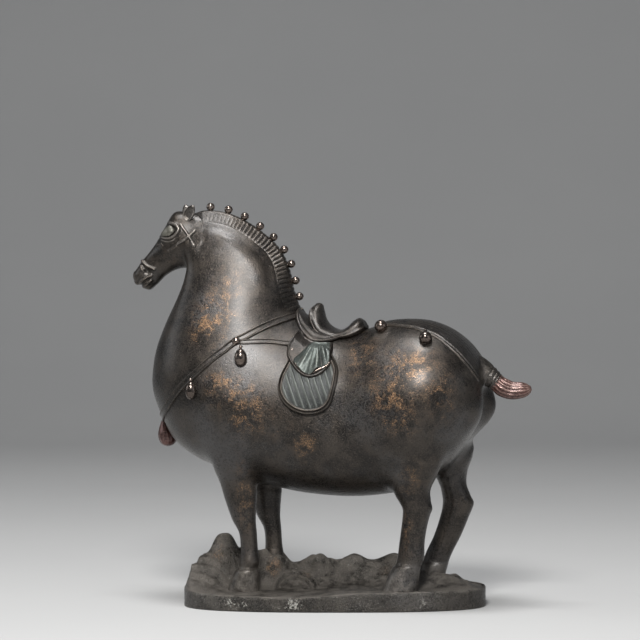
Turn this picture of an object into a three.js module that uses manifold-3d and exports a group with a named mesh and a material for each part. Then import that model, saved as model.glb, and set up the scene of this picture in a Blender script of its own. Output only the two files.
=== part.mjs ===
// Gilt bronze horse, fat and thick-necked, saddled, on an oval plinth with rocks, cast in one piece.
// Millimetres, +Z up. The plinth's long side runs along X and the head looks towards -X.
// Every outline below is written in the horse's own frame: x to the tail, y to the off side, z up
// from the underside of the plinth. The horse stands turned on the plinth by TURN.

import * as THREE from 'three';
import Module from 'manifold-3d';

const wasm = await Module();
wasm.setup();

// Driving dimensions
const TURN = THREE.MathUtils.degToRad(12);
const PLINTH_LENGTH = 166;
const PLINTH_DEPTH = 77;
const PLINTH_SQUARENESS = 2.7;
const SKIN_ROWS = 38;
const SKIN_COLUMNS = 18;
const LEG_SIDES = 8;
const ORNAMENT_SIDES = 6;
const STRAP_WIDTH = 3.8;
const STRAP_RISE = 1.2;
const BRIDLE_WIDTH = 1.5;
const MANE_PITCH = 3.9;
const MANE_DEPTH = 7;
const KNOB_RADIUS = 1.9;

// Body stations from muzzle to tail root: upper outline x, z, lower outline x, z, half width,
// and how far the widest level sinks below the middle
const BODY = [
  [-112.6, 183.4, -111.0, 176.0, 3.4, 0.0],
  [-110.3, 188.0, -105.7, 172.8, 5.2, 0.0],
  [-106.3, 192.6, -101.0, 176.0, 5.0, 0.0],
  [-102.2, 197.9, -96.5, 180.5, 5.8, 0.0],
  [-98.8, 203.2, -91.4, 183.6, 7.6, 0.0],
  [-95.0, 209.8, -86.8, 185.0, 9.0, -0.05],
  [-91.0, 215.8, -82.3, 184.7, 9.6, -0.05],
  [-85.6, 216.6, -81.2, 181.6, 9.8, 0.0],
  [-78.0, 215.2, -82.9, 176.6, 10.4, 0.1],
  [-69.5, 213.3, -86.2, 170.3, 12.0, 0.15],
  [-61.0, 211.4, -90.0, 163.4, 14.2, 0.18],
  [-52.0, 208.0, -94.0, 156.0, 17.0, 0.2],
  [-43.5, 202.0, -97.6, 147.8, 20.0, 0.22],
  [-36.5, 195.0, -100.4, 139.5, 23.2, 0.24],
  [-31.0, 187.5, -102.0, 130.0, 26.4, 0.24],
  [-27.8, 179.5, -102.4, 120.5, 29.4, 0.22],
  [-26.0, 172.0, -100.4, 111.6, 32.0, 0.2],
  [-22.5, 164.5, -96.1, 101.6, 34.2, 0.17],
  [-16.0, 158.5, -89.2, 89.4, 36.0, 0.14],
  [-8.4, 153.5, -76.6, 80.2, 37.2, 0.12],
  [0.6, 150.0, -53.8, 71.1, 37.8, 0.12],
  [9.5, 149.5, -25.4, 63.3, 37.2, 0.12],
  [18.5, 152.2, 0.0, 60.4, 36.2, 0.1],
  [29.7, 156.0, 20.8, 60.8, 37.0, 0.05],
  [40.8, 157.2, 40.9, 64.5, 38.2, 0.02],
  [53.0, 156.4, 57.6, 73.0, 37.6, 0.0],
  [64.1, 152.4, 68.7, 83.6, 34.6, 0.0],
  [73.5, 145.6, 76.4, 97.4, 29.0, 0.0],
  [79.4, 138.4, 79.7, 111.1, 21.0, 0.0],
  [82.6, 132.4, 80.9, 119.4, 10.0, 0.0],
];

// Swellings of the flanks, which are haunch, shoulder, waist, cheek, thigh and forearm: x, z, reach, rise
const SWELLINGS = [
  [47, 118, 24, 2.6],
  [-62, 106, 24, 2.4],
  [10, 105, 12, -1.6],
  [-79, 194, 7.5, 1.3],
  [47, 84, 17, 5],
  [-53, 84, 14, 3.5],
];

// Rounds of the buttocks on each side of the cleft: side distance, height, reach, rise
const BUTTOCK = [15, 108, 15, 5.5];

// Leg outlines from inside the body to the sole: height, front edge, rear edge, half width, side distance
const FORELEG = [
  [104, -76, -38, 12, 20.5],
  [90, -72, -34.5, 12.3, 19.6],
  [78, -65.8, -36.6, 10.7, 17.4],
  [68, -61.4, -39.6, 7.8, 15.8],
  [58, -58.4, -40.8, 6.5, 15.3],
  [47.5, -54.6, -41.4, 5.7, 15],
  [40, -50.6, -40.8, 4.7, 15],
  [31, -49.7, -40.2, 4.6, 15],
  [24.4, -50.4, -39.2, 5.5, 15],
  [20.4, -50.6, -40.4, 5.3, 15],
  [19, -52.8, -39.6, 6.6, 15],
  [13, -55.6, -39.4, 7.5, 15],
  [5, -58.4, -39.2, 8.2, 15],
];
const HIND_LEG = [
  [112, 24, 68, 13, 20.5],
  [92, 23.5, 67, 14.4, 19.6],
  [82, 25, 64.5, 13.8, 18.8],
  [74.4, 29.1, 60.8, 11.8, 18.1],
  [66.3, 34.4, 56.6, 9, 17.5],
  [60, 38.6, 56.6, 7.4, 17.2],
  [55.5, 41, 57.4, 6.6, 17],
  [52, 41.2, 56.2, 6.1, 17],
  [46, 40.6, 54.6, 5.4, 17],
  [37, 39.4, 53.2, 5.1, 17],
  [29, 38.4, 53, 5.6, 17],
  [24.6, 37.4, 51.4, 5.6, 17],
  [23.2, 35.8, 51, 6.7, 17],
  [16, 32, 50, 7.6, 17],
  [5, 27.4, 49, 8.4, 17],
];
const OFF_HIND_LEG = [
  [112, 28, 70, 13, 20.5],
  [92, 30, 74, 14.2, 19.4],
  [82, 41, 73.6, 13, 18.8],
  [74, 49.6, 71, 11, 18.1],
  [66.5, 55.2, 70.4, 8.8, 17.5],
  [60, 57, 72.8, 7.4, 17.2],
  [55.5, 57.4, 74.6, 6.6, 17],
  [49, 56.2, 72.2, 6, 17],
  [38, 52.6, 67.6, 5.3, 17],
  [29, 48.4, 63, 5.4, 17],
  [23, 46, 60.6, 5.6, 17],
  [20.6, 44.6, 60, 6.7, 17],
  [13, 41, 58, 7.6, 17],
  [5, 38, 57, 8.2, 17],
];
const OFF_FORELEG_SETBACK = 7;

// Crest of the cut mane from poll to withers, x, z, and the share of it at which each knob stands
const CREST = [[-79.3, 216.6], [-70.5, 217.2], [-60.2, 215.6], [-50.4, 211.4], [-41, 205.2],
  [-33.2, 198.4], [-28.1, 191], [-25, 182.6], [-23.2, 174], [-20.6, 166], [-17.4, 161.4]];
const KNOB_PLACES = [0.096, 0.204, 0.307, 0.415, 0.518, 0.612, 0.703, 0.802, 0.902];

// Straps, x and z in side view; the breast strap ends at the middle of the chest
const UPPER_STRAP = [[-18.5, 159.2], [-30.4, 155.6], [-44.9, 148.3], [-55.1, 141.7], [-62.2, 136.7],
  [-73.1, 127.7], [-81.8, 120.3], [-89.3, 112.1], [-94.4, 105.6]];
const LOWER_STRAP = [[-19.5, 145.1], [-33, 146], [-48.6, 145.8]];
const BRIDLE = [
  [[-85, 209.1], [-81.6, 203.3], [-78.2, 197.5]],
  [[-75.5, 207], [-81.7, 201.6], [-87.9, 196.1]],
];
const BREAST_END = [-96.6, 100.4];

// Round ornaments on the straps and rump: x, z, radius, length, how far they hang below their place
const BOSS = [-49.1, 146.1, 1.9, 2.2];
const PENDANTS = [[-45.5, 142.6, 3.4, 10], [-74.6, 124.6, 3, 10.6]];
const TASSEL = [-96.9, 99.4, 4.9, 14.2];
const TASSEL_LEAN = 0.2;
const RUMP_BELLS = [[29.4, 153.8, 3.4], [54.9, 147.9, 3.6]];

// Saddle flaps: middle x at the foot, top z, half width, depth, rise; their tops lean forward
const UPPER_FLAP = [-6.7, 147, 12.5, 21.6, 3.8];
const LOWER_FLAP = [-5.6, 143, 16.6, 34.4, 2.8];
const FLAP_LEAN = 0.12;

// Saddle pad under the seat: x and the height of its lower edge, and its rise
const PAD = [[-19, 158], [-16.5, 151], [-12, 146.6], [-6, 145.2], [2, 146], [8, 149]];
const PAD_RISE = 1.4;

// Seat from pommel tip to cantle tip: middle line x, z, rim x, z and half span
const SEAT = [
  [-10.4, 166.4, -10.9, 166, 1.2],
  [-7.2, 164.6, -12.4, 163.2, 5.2],
  [-6, 160, -12.8, 158.4, 8],
  [-4.4, 156.4, -12, 154, 10],
  [-1.4, 153.8, -9, 150.8, 11.8],
  [3.2, 152, -2, 148.4, 13],
  [7.6, 153, 5.6, 149.4, 12.4],
  [11.6, 155.4, 10.8, 152.4, 9.4],
  [14.6, 157.8, 14.2, 157, 2.6],
];
const SEAT_THICKNESS = 3.2;

// Spine band from behind the cantle to the tail: half widths
const BAND_WIDTHS = [6.5, 9, 9.5, 9, 7.5, 6];
const BAND_RISE = 0.9;

// Tail from the wrapped root to the tip: x, z, half thickness, half width
const TAIL = [
  [74, 128, 6, 6.4],
  [80, 127.4, 6.8, 6.8],
  [85.6, 126.6, 6.8, 6.6],
  [89.6, 125, 6.2, 6],
  [90.6, 124.2, 5.4, 5.2],
  [93.6, 121.4, 5.8, 5.4],
  [98.6, 119.4, 5.2, 5],
  [103.4, 119.4, 4.2, 4.2],
  [107, 120.6, 2.8, 3],
  [108.8, 121.4, 1.2, 1.4],
];

// Rocks on the plinth: x, distance behind the middle and height of their ridge line
const RIDGE = [[-83, 0, 9.5], [-81, 2, 14.8], [-79, 5, 21], [-72, 11, 27.7], [-67.7, 14, 30.2],
  [-65, 15, 36.2], [-61, 16, 38.6], [-56.7, 17, 35.6], [-49.5, 19, 30.2], [-42.3, 20, 27.9],
  [-32.5, 22, 29.4], [-22.8, 23, 20.9], [-9.3, 23, 25.5], [1.2, 23, 22.4], [10.7, 23, 25.4],
  [21.9, 23, 22.4], [34.7, 21, 26.2], [42.8, 10, 21.6], [50.8, 0, 17.8], [65.5, -4, 17.4],
  [72, -6, 14], [77.6, -5, 11.2], [83.2, -2, 9]];
const ROCK_FRONT = 15;
const ROCK_BACK = 10;

// Height of the plinth's edge along its length
const RIM = [[-83, 9], [-60, 8.2], [-22, 7.7], [18, 10.2], [49, 10.5], [83, 9.8]];
const RIM_LIP = 1.2;

const bronze = new THREE.MeshStandardMaterial({ color: '#3f3830', roughness: 0.42, metalness: 0.9 });

const vec = (x, y, z) => new THREE.Vector3(x, y, z);

// Smooth curve through rows of numbers, read at any place from 0 to 1
function through(rows) {
  const columns = rows[0].length;
  const halves = [0, 3].map((start) => new THREE.CatmullRomCurve3(
    rows.map((row) => vec(row[start] ?? 0, row[start + 1] ?? 0, row[start + 2] ?? 0)),
    false,
    'catmullrom',
    0.5,
  ));
  return (t) => halves.flatMap((half) => half.getPoint(t).toArray()).slice(0, columns);
}

// Value read off a profile at any x: rows hold x first, and the asked column is the second by default
function heightAt(profile, x, column = 1) {
  const last = profile.length - 1;
  const after = profile.findIndex((point) => point[0] > x);
  const k = after < 0 ? last : Math.max(after, 1);
  const before = profile[k - 1];
  const next = profile[k];
  const t = THREE.MathUtils.clamp((x - before[0]) / (next[0] - before[0]), 0, 1);
  return THREE.MathUtils.lerp(before[column], next[column], t * t * (3 - 2 * t));
}

// Closed skin over a row of equal rings, with a fan to the middle of each end
function loft(rings) {
  const sides = rings[0].length;
  const middle = (ring) => ring.reduce((sum, p) => sum.add(p), vec(0, 0, 0)).divideScalar(sides);
  const points = [...rings.flat(), middle(rings[0]), middle(rings.at(-1))];
  const firstMiddle = points.length - 2;
  const lastMiddle = points.length - 1;
  const lastRing = (rings.length - 1) * sides;
  const faces = [];
  for (let k = 0; k < sides; k += 1) {
    const next = (k + 1) % sides;
    faces.push(firstMiddle, next, k, lastMiddle, lastRing + k, lastRing + next);
    for (let row = 0; row < lastRing; row += sides) {
      faces.push(row + k, row + next, row + sides + next);
      faces.push(row + k, row + sides + next, row + sides + k);
    }
  }
  return solid(points, faces);
}

// Solid from points and faces, turned the right way out
function solid(points, faces) {
  const volume = faces.reduce((sum, _, i) => (i % 3 ? sum
    : sum + points[faces[i]].dot(points[faces[i + 1]].clone().cross(points[faces[i + 2]]))), 0);
  const triVerts = Uint32Array.from(volume < 0 ? [...faces].reverse() : faces);
  const vertProperties = Float32Array.from(points.flatMap((p) => p.toArray()));
  return new wasm.Manifold(new wasm.Mesh({ numProp: 3, vertProperties, triVerts }));
}

// Solid of revolution about z from a profile of radius and height, moved and turned into place
function turned(profile, sides, place) {
  const rings = profile.map(([radius, z]) => Array.from({ length: sides }, (_, k) => {
    const angle = (2 * Math.PI * k) / sides;
    return vec(radius * Math.cos(angle), radius * Math.sin(angle), z).applyMatrix4(place);
  }));
  return loft(rings);
}

const join = (solids) => solids.reduce((whole, piece) => whole.add(piece));

const mirrored = (p) => vec(p.x, -p.y, p.z);

const bodyAt = through(BODY);

// Rise of the flank swellings at a place in side view
function swelling(x, z) {
  return SWELLINGS.reduce((sum, [cx, cz, reach, rise]) => {
    const far = ((x - cx) ** 2 + (z - cz) ** 2) / reach ** 2;
    return sum + rise * Math.exp(-far);
  }, 0);
}

// Skin of the body: t runs from muzzle to tail root, angle from the top line round to the near side
function skin(t, angle) {
  const [topX, topZ, lowX, lowZ, halfWidth, sink] = bodyAt(t);
  const level = Math.cos(angle);
  const out = Math.sin(angle);
  const x = (topX + lowX) / 2 + ((topX - lowX) / 2) * level;
  const z = (topZ + lowZ) / 2 + ((topZ - lowZ) / 2) * level;
  const round = Math.sign(out) * Math.abs(out) ** 0.92;
  const y = -round * (halfWidth * (1 - sink * level) + swelling(x, z) * out * out);
  const [lobeSide, lobeHeight, lobeReach, lobeRise] = BUTTOCK;
  const lobe = ((Math.abs(y) - lobeSide) ** 2 + (z - lobeHeight) ** 2) / lobeReach ** 2;
  const rear = THREE.MathUtils.smoothstep(x, 55, 78);
  return vec(x + lobeRise * rear * Math.exp(-lobe), y, z);
}

// Outward direction of the skin
function skinNormal(t, angle) {
  const step = 0.002;
  const along = skin(Math.min(t + step, 1), angle).sub(skin(Math.max(t - step, 0), angle));
  const round = skin(t, angle + step).sub(skin(t, angle - step));
  return along.cross(round).normalize().negate();
}

// Place on the near flank whose side view is x, z: the station whose section line passes through it
function flank(x, z) {
  const read = (t) => {
    const [topX, topZ, lowX, lowZ] = bodyAt(t);
    const length = (topX - lowX) ** 2 + (topZ - lowZ) ** 2;
    return {
      t,
      beside: (topX - lowX) * (z - lowZ) - (topZ - lowZ) * (x - lowX),
      height: ((x - lowX) * (topX - lowX) + (z - lowZ) * (topZ - lowZ)) / length,
    };
  };
  const reads = Array.from({ length: 201 }, (_, k) => read(k / 200));
  const at = reads.findIndex((here, k) => {
    const next = reads[k + 1];
    return next && here.beside * next.beside <= 0 && Math.abs(here.height - 0.5) < 0.6;
  });
  const share = reads[at].beside / (reads[at].beside - reads[at + 1].beside);
  const found = read((at + share) / 200);
  return [found.t, Math.acos(THREE.MathUtils.clamp(2 * found.height - 1, -1, 1))];
}

// Point standing off the skin by a rise
const onSkin = (t, angle, rise) => skin(t, angle).addScaledVector(skinNormal(t, angle), rise);

function body() {
  const rings = Array.from({ length: SKIN_ROWS + 1 }, (_, row) => Array.from(
    { length: SKIN_COLUMNS },
    (_, k) => skin(row / SKIN_ROWS, (2 * Math.PI * k) / SKIN_COLUMNS),
  ));
  return loft(rings);
}

// Leg of oval sections, pulled to a point behind where the hock or heel is
function leg(outline, side, setback = 0) {
  const rings = outline.map(([z, front, rear, halfWidth, distance]) => Array.from(
    { length: LEG_SIDES },
    (_, k) => {
      const angle = (2 * Math.PI * k) / LEG_SIDES;
      const x = (front + rear) / 2 + setback + ((rear - front) / 2) * Math.cos(angle);
      return vec(x, side * distance + halfWidth * Math.sin(angle), z);
    },
  ));
  return loft(rings);
}

// Band laid on the skin along places given as station and angle, the same width all along
function ribbon(places, width, rise, mirror, steps) {
  const path = through(places);
  const rings = Array.from({ length: steps + 1 }, (_, row) => {
    const at = row / steps;
    const [t, angle] = path(at);
    const [tNext, angleNext] = path(Math.min(at + 0.01, 1));
    const [tBefore, angleBefore] = path(Math.max(at - 0.01, 0));
    const along = skin(tNext, angleNext).sub(skin(tBefore, angleBefore)).normalize();
    const normal = skinNormal(t, angle);
    const across = normal.clone().cross(along).normalize().multiplyScalar(width / 2);
    const place = skin(t, angle);
    const section = [[-0.9, -1.2], [-1, 0.3], [-0.5, rise], [0.5, rise], [1, 0.3], [0.9, -1.2]];
    return section.map(([side, lift]) => {
      const point = place.clone().addScaledVector(across, side).addScaledVector(normal, lift);
      return mirror ? mirrored(point) : point;
    });
  });
  return loft(rings);
}

function straps(mirror) {
  const upper = UPPER_STRAP.map(([x, z]) => flank(x, z));
  const chest = [flank(...BREAST_END)[0], Math.PI];
  const lower = LOWER_STRAP.map(([x, z]) => flank(x, z));
  const bridle = BRIDLE.map((line) => line.map(([x, z]) => flank(x, z)));
  return join([
    ribbon([...upper, chest], STRAP_WIDTH, STRAP_RISE, mirror, 12),
    ribbon(lower, STRAP_WIDTH * 0.8, STRAP_RISE, mirror, 3),
    ...bridle.map((line) => ribbon(line, BRIDLE_WIDTH, STRAP_RISE * 0.7, mirror, 2)),
  ]);
}

// Frame whose z axis is the direction and whose origin is the point
function pointing(point, direction) {
  const turn = new THREE.Quaternion().setFromUnitVectors(vec(0, 0, 1), direction.clone().normalize());
  return new THREE.Matrix4().compose(point, turn, vec(1, 1, 1));
}

// Egg profile hanging from a short neck
function eggProfile(radius, length) {
  const shares = [[0.35, 0], [0.35, 0.12], [0.8, 0.32], [1, 0.6], [0.7, 0.88], [0.3, 0.98]];
  return shares.map(([across, down]) => [radius * across, -length * down]);
}

function ornaments(mirror) {
  const put = (p) => (mirror ? mirrored(p) : p);
  const [bossX, bossZ, bossRadius, bossRise] = BOSS;
  const bossPlace = flank(bossX, bossZ);
  const bossProfile = [[bossRadius, -1.5], [bossRadius, bossRise * 0.5], [bossRadius * 0.6, bossRise]];
  const solids = [turned(
    bossProfile,
    ORNAMENT_SIDES,
    pointing(put(skin(...bossPlace)), put(skinNormal(...bossPlace))),
  )];
  for (const [x, z, radius, length] of PENDANTS) {
    const place = put(onSkin(...flank(x, z - length / 2), radius * 0.35));
    place.z = z;
    solids.push(turned(eggProfile(radius, length), ORNAMENT_SIDES, pointing(place, vec(0, 0, 1))));
  }
  for (const [x, z, radius] of RUMP_BELLS) {
    const place = flank(x, z);
    const frame = pointing(put(onSkin(...place, -radius * 0.4)), put(skinNormal(...place)));
    const ball = [-0.5, 0, 0.5, 0.9].map((s) => [radius * Math.sqrt(1 - s * s), radius * (s + 0.6)]);
    solids.push(turned(ball, ORNAMENT_SIDES, frame));
  }
  return join(solids);
}

function tassel() {
  const [x, z, radius, length] = TASSEL;
  const shares = [[0.3, -0.14], [0.34, 0.1], [0.6, 0.3], [0.95, 0.6], [1, 0.78], [0.7, 0.96]];
  const profile = shares.map(([across, down]) => [radius * across, -length * down]);
  return turned(profile, ORNAMENT_SIDES, pointing(vec(x, 0, z), vec(-TASSEL_LEAN, 0, 1)));
}

// Shield-shaped flap on the flank: straight at the top, round below, standing off the skin
function flap([middleX, topZ, halfWidth, depth, rise], mirror) {
  const columns = 8;
  const rows = 3;
  const roundness = 2.4;
  const rings = Array.from({ length: columns + 1 }, (_, column) => {
    const across = Math.sin(((column / columns) - 0.5) * Math.PI * 0.96);
    const drop = depth * Math.abs(1 - Math.abs(across) ** roundness) ** (1 / roundness);
    const places = Array.from({ length: rows + 1 }, (_, row) => {
      const down = drop * (row / rows);
      return flank(middleX + halfWidth * across - FLAP_LEAN * (depth - down), topZ - down);
    });
    const outer = places.map((place, row) => onSkin(...place, row === rows ? rise * 0.7 : rise));
    const inner = places.map((place) => onSkin(...place, -1.5));
    const ring = [...outer, ...inner.reverse()];
    return mirror ? ring.map(mirrored) : ring;
  });
  return loft(rings);
}

// Seat shell arched over the back, turned up to the pommel in front and the cantle behind
function seat() {
  const at = through(SEAT);
  const steps = 9;
  const arc = 6;
  const rings = Array.from({ length: steps + 1 }, (_, row) => {
    const t = row / steps;
    const [x, z, rimX, rimZ, span] = at(t);
    const [nextX, nextZ] = at(Math.min(t + 0.02, 1));
    const [beforeX, beforeZ] = at(Math.max(t - 0.02, 0));
    const inward = vec(nextZ - beforeZ, 0, beforeX - nextX).normalize();
    const outer = Array.from({ length: arc + 1 }, (_, k) => {
      const angle = ((k / arc) - 0.5) * Math.PI;
      const drop = 1 - Math.cos(angle);
      return vec(x + (rimX - x) * drop, span * Math.sin(angle), z + (rimZ - z) * drop);
    });
    const thickness = SEAT_THICKNESS * (0.35 + 0.65 * Math.sin(Math.PI * t));
    const inner = outer.map((p) => p.clone().multiply(vec(1, 0.9, 1)).addScaledVector(inward, thickness));
    return [...outer, ...inner.reverse()];
  });
  return loft(rings);
}

// Pad that the seat stands on, laid over the back
function pad() {
  const columns = 7;
  const first = PAD[0][0];
  const last = PAD.at(-1)[0];
  const rings = Array.from({ length: columns + 1 }, (_, column) => {
    const x = THREE.MathUtils.lerp(first, last, column / columns);
    const [t, reach] = flank(x, heightAt(PAD, x));
    const parts = [-1, -0.92, -0.5, 0.5, 0.92, 1];
    const outer = parts.map((part, k) => onSkin(t, part * reach, k % 5 ? PAD_RISE : 0.4));
    const inner = parts.map((part) => onSkin(t, part * reach, -1.5));
    return [...outer, ...inner.reverse()];
  });
  return loft(rings);
}

// Broad band along the spine from behind the saddle to the tail
function spineBand() {
  const steps = 8;
  const widthAt = through(BAND_WIDTHS.map((width) => [width]));
  const start = flank(24, 154)[0];
  const end = 0.985;
  const rings = Array.from({ length: steps + 1 }, (_, row) => {
    const t = THREE.MathUtils.lerp(start, end, row / steps);
    const [topX, topZ, lowX, lowZ, halfWidth] = bodyAt(t);
    const half = Math.hypot(topX - lowX, topZ - lowZ) / 2;
    const reach = widthAt(row / steps)[0] / Math.hypot(halfWidth, 0.1 * half);
    const angles = [-1, -0.92, 0, 0.92, 1].map((part) => part * reach);
    const outer = angles.map((angle, k) => onSkin(t, angle, k % 4 ? BAND_RISE : 0.2));
    const inner = angles.map((angle) => onSkin(t, angle, -1.5));
    return [...outer, ...inner.reverse()];
  });
  return loft(rings);
}

// Cut mane standing on the crest, its sides fluted square to the crest
function mane() {
  const crest = new THREE.CatmullRomCurve3(CREST.map(([x, z]) => vec(x, 0, z)));
  const steps = 2 * Math.round(crest.getLength() / MANE_PITCH);
  const rings = Array.from({ length: steps + 1 }, (_, row) => {
    const at = row / steps;
    const place = crest.getPointAt(at);
    const along = crest.getTangentAt(at);
    const inward = vec(along.z, 0, -along.x);
    const swell = row % 2 ? 0.55 : 0;
    const fade = THREE.MathUtils.smoothstep(at, 0, 0.06) * THREE.MathUtils.smoothstep(1 - at, 0, 0.05);
    const depth = MANE_DEPTH * (0.75 + 0.25 * fade);
    const section = [[0, 0], [0.8, 2], [5.4, 3.8], [depth, 0], [5.4, -3.8], [0.8, -2]];
    return section.map(([down, out]) => {
      const ribbed = down < depth ? Math.sign(out) * swell : 0;
      return place.clone().addScaledVector(inward, down).add(vec(0, out + ribbed, 0));
    });
  });
  const knobs = KNOB_PLACES.map((at) => {
    const along = crest.getTangentAt(at);
    const outward = vec(-along.z, 0, along.x);
    const ball = [[0.55, -0.9], [0.5, 0.4], [1, 1.2], [0.5, 2.1]];
    const profile = ball.map(([r, z]) => [r * KNOB_RADIUS, z * KNOB_RADIUS]);
    return turned(profile, 5, pointing(crest.getPointAt(at), outward));
  });
  return join([loft(rings), ...knobs]);
}

function tail() {
  const at = through(TAIL);
  const steps = 13;
  const sides = 8;
  const rings = Array.from({ length: steps + 1 }, (_, row) => {
    const t = row / steps;
    const [x, z, thick, wide] = at(t);
    const [nextX, nextZ] = at(Math.min(t + 0.03, 1));
    const [beforeX, beforeZ] = at(Math.max(t - 0.03, 0));
    const up = vec(beforeZ - nextZ, 0, nextX - beforeX).normalize();
    return Array.from({ length: sides }, (_, k) => {
      const angle = (2 * Math.PI * k) / sides;
      const groove = t > 0.45 && k % 2 ? 0.9 : 1;
      return vec(x, wide * groove * Math.sin(angle), z).addScaledVector(up, thick * groove * Math.cos(angle));
    });
  });
  return loft(rings);
}

// Leaf-shaped ear, hollow on the outside; the near one is laid back and the off one stands up
function ear(side, lean) {
  const base = vec(-84, side * 5.2, 212);
  const axis = vec(lean, side * 0.3, 0.77).normalize();
  const leaf = (length, width, thick) => [0, 0.3, 0.6, 0.85, 1].map((t) => {
    const fat = Math.sin(Math.PI * (0.16 + 0.8 * t)) ** 0.9;
    return Array.from({ length: ORNAMENT_SIDES }, (_, k) => {
      const angle = (2 * Math.PI * k) / ORNAMENT_SIDES;
      return vec(width * fat * Math.cos(angle), thick * fat * Math.sin(angle), length * t);
    });
  });
  const frame = pointing(base, axis);
  const shift = new THREE.Matrix4().makeTranslation(0, side * 1.5, 1.6);
  const placed = (rings, place) => loft(rings.map((ring) => ring.map((p) => p.applyMatrix4(place))));
  const outer = placed(leaf(10, 3, 1.9), frame);
  const hollow = placed(leaf(7.4, 2, 1.2), frame.clone().multiply(shift));
  return outer.subtract(hollow);
}

// Eye: a ball under a thick lid that runs round it, open towards the forehead
function eye(mirror) {
  const place = flank(-92.4, 206.2);
  const put = (p) => (mirror ? mirrored(p) : p);
  const frame = pointing(put(onSkin(...place, -1.2)), put(skinNormal(...place)));
  const ball = [-0.8, -0.3, 0.3, 0.75, 0.97].map((s) => [2.6 * Math.sqrt(1 - s * s), 1.9 * s + 0.9]);
  const lid = [[-92, 210.2], [-88.4, 209.2], [-86.8, 206.6], [-88.2, 203.6], [-92, 202.2], [-95.8, 203.2]]
    .map(([x, z]) => flank(x, z));
  return join([turned(ball, 7, frame), ribbon(lid, 1.5, 1.1, mirror, 6)]);
}

// Cuts for the mouth and the nostrils
function mouthCut() {
  const box = new THREE.BoxGeometry(9.5, 20, 0.9);
  const place = new THREE.Matrix4().makeRotationY(-0.5).setPosition(-109.6, 0, 177.6);
  return fromGeometry(box, place);
}

function nostrilCut(side) {
  const place = new THREE.Matrix4().makeTranslation(-107, side * 5.4, 184.6);
  return turned([[0.3, -1.7], [1.3, -0.9], [1.5, 0.3], [0.9, 1.5]], 7, place);
}

// Solid from one of the library's closed shapes
function fromGeometry(geometry, place) {
  const corners = geometry.attributes.position;
  const points = [];
  const names = new Map();
  const faces = Array.from(geometry.index.array, (index) => {
    const p = vec().fromBufferAttribute(corners, index).applyMatrix4(place);
    const key = p.toArray().map((v) => v.toFixed(4)).join();
    if (!names.has(key)) {
      names.set(key, points.length);
      points.push(p);
    }
    return names.get(key);
  });
  return solid(points, faces);
}

// Height of the plinth's top: a rim, a gentle ground, and rocks rising to a ridge behind
function ground(x, y) {
  const rim = heightAt(RIM, x);
  const line = heightAt(RIDGE, x, 1);
  const ridge = heightAt(RIDGE, x, 2);
  const away = Math.abs(y - line) / (y < line ? ROCK_FRONT : ROCK_BACK);
  const rise = Math.max(ridge - rim, 0) * Math.exp(-1.6 * away ** 1.7);
  const ripple = 0.8 * Math.sin(x / 2.9 + y / 2.1) * THREE.MathUtils.smoothstep(rise, 2, 10);
  return rim + rise + ripple;
}

// Plinth as cross-sections along its length: a flat underside, an upright edge and the ground's line,
// turned against the horse, in whose frame it is returned
function plinth() {
  const columns = 34;
  const rows = 9;
  const edge = 1.4;
  const upright = vec(0, 0, 1);
  const rings = Array.from({ length: columns + 1 }, (_, column) => {
    const share = Math.sin(((column / columns) - 0.5) * Math.PI) * 0.999;
    const x = (share * PLINTH_LENGTH) / 2;
    const squared = 1 - Math.abs(share) ** PLINTH_SQUARENESS;
    const reach = (PLINTH_DEPTH / 2) * squared ** (1 / PLINTH_SQUARENESS);
    const rim = heightAt(RIM, x);
    const top = Array.from({ length: rows + 1 }, (_, row) => {
      const y = (reach - 1) * (1 - (2 * row) / rows);
      return vec(x, y, row % rows ? ground(x, y) : rim);
    });
    const side = [
      vec(x, -reach, rim - RIM_LIP),
      vec(x, edge - reach, 0),
      vec(x, reach - edge, 0),
      vec(x, reach, rim - RIM_LIP),
    ];
    return [...side, ...top].map((p) => p.applyAxisAngle(upright, TURN));
  });
  return loft(rings);
}

function horse() {
  const near = -1;
  const off = 1;
  const joined = join([
    body(),
    leg(FORELEG, near),
    leg(FORELEG, off, OFF_FORELEG_SETBACK),
    leg(HIND_LEG, near),
    leg(OFF_HIND_LEG, off),
    mane(),
    tail(),
    seat(),
    pad(),
    spineBand(),
    tassel(),
    ear(near, 0.56),
    ear(off, 0),
    ...[false, true].flatMap((mirror) => [
      flap(LOWER_FLAP, mirror),
      flap(UPPER_FLAP, mirror),
      straps(mirror),
      ornaments(mirror),
      eye(mirror),
    ]),
  ]);
  return joined.subtract(mouthCut()).subtract(nostrilCut(near)).subtract(nostrilCut(off));
}

const { vertProperties, triVerts } = horse().add(plinth()).getMesh();
const geometry = new THREE.BufferGeometry();
geometry.setAttribute('position', new THREE.BufferAttribute(vertProperties, 3));
geometry.setIndex(new THREE.BufferAttribute(triVerts, 1));
geometry.rotateZ(-TURN);
geometry.computeBoundingBox();

// The origin is the middle of the bounding box, on the surface that the plinth stands on
const box = geometry.boundingBox;
geometry.translate(-(box.min.x + box.max.x) / 2, -(box.min.y + box.max.y) / 2, -box.min.z);

const mesh = new THREE.Mesh(geometry, bronze);
mesh.name = 'horse_with_plinth';
const group = new THREE.Group();
group.add(mesh);

export default group;
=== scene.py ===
"""Looks of a gilt bronze horse on its plinth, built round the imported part.

Shapes are worked out in the horse's own frame, in millimetres: x to the tail, y to the off side and
z up from the underside of the plinth. place() turns them onto the plinth and into the row frame.
"""
import math

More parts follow.
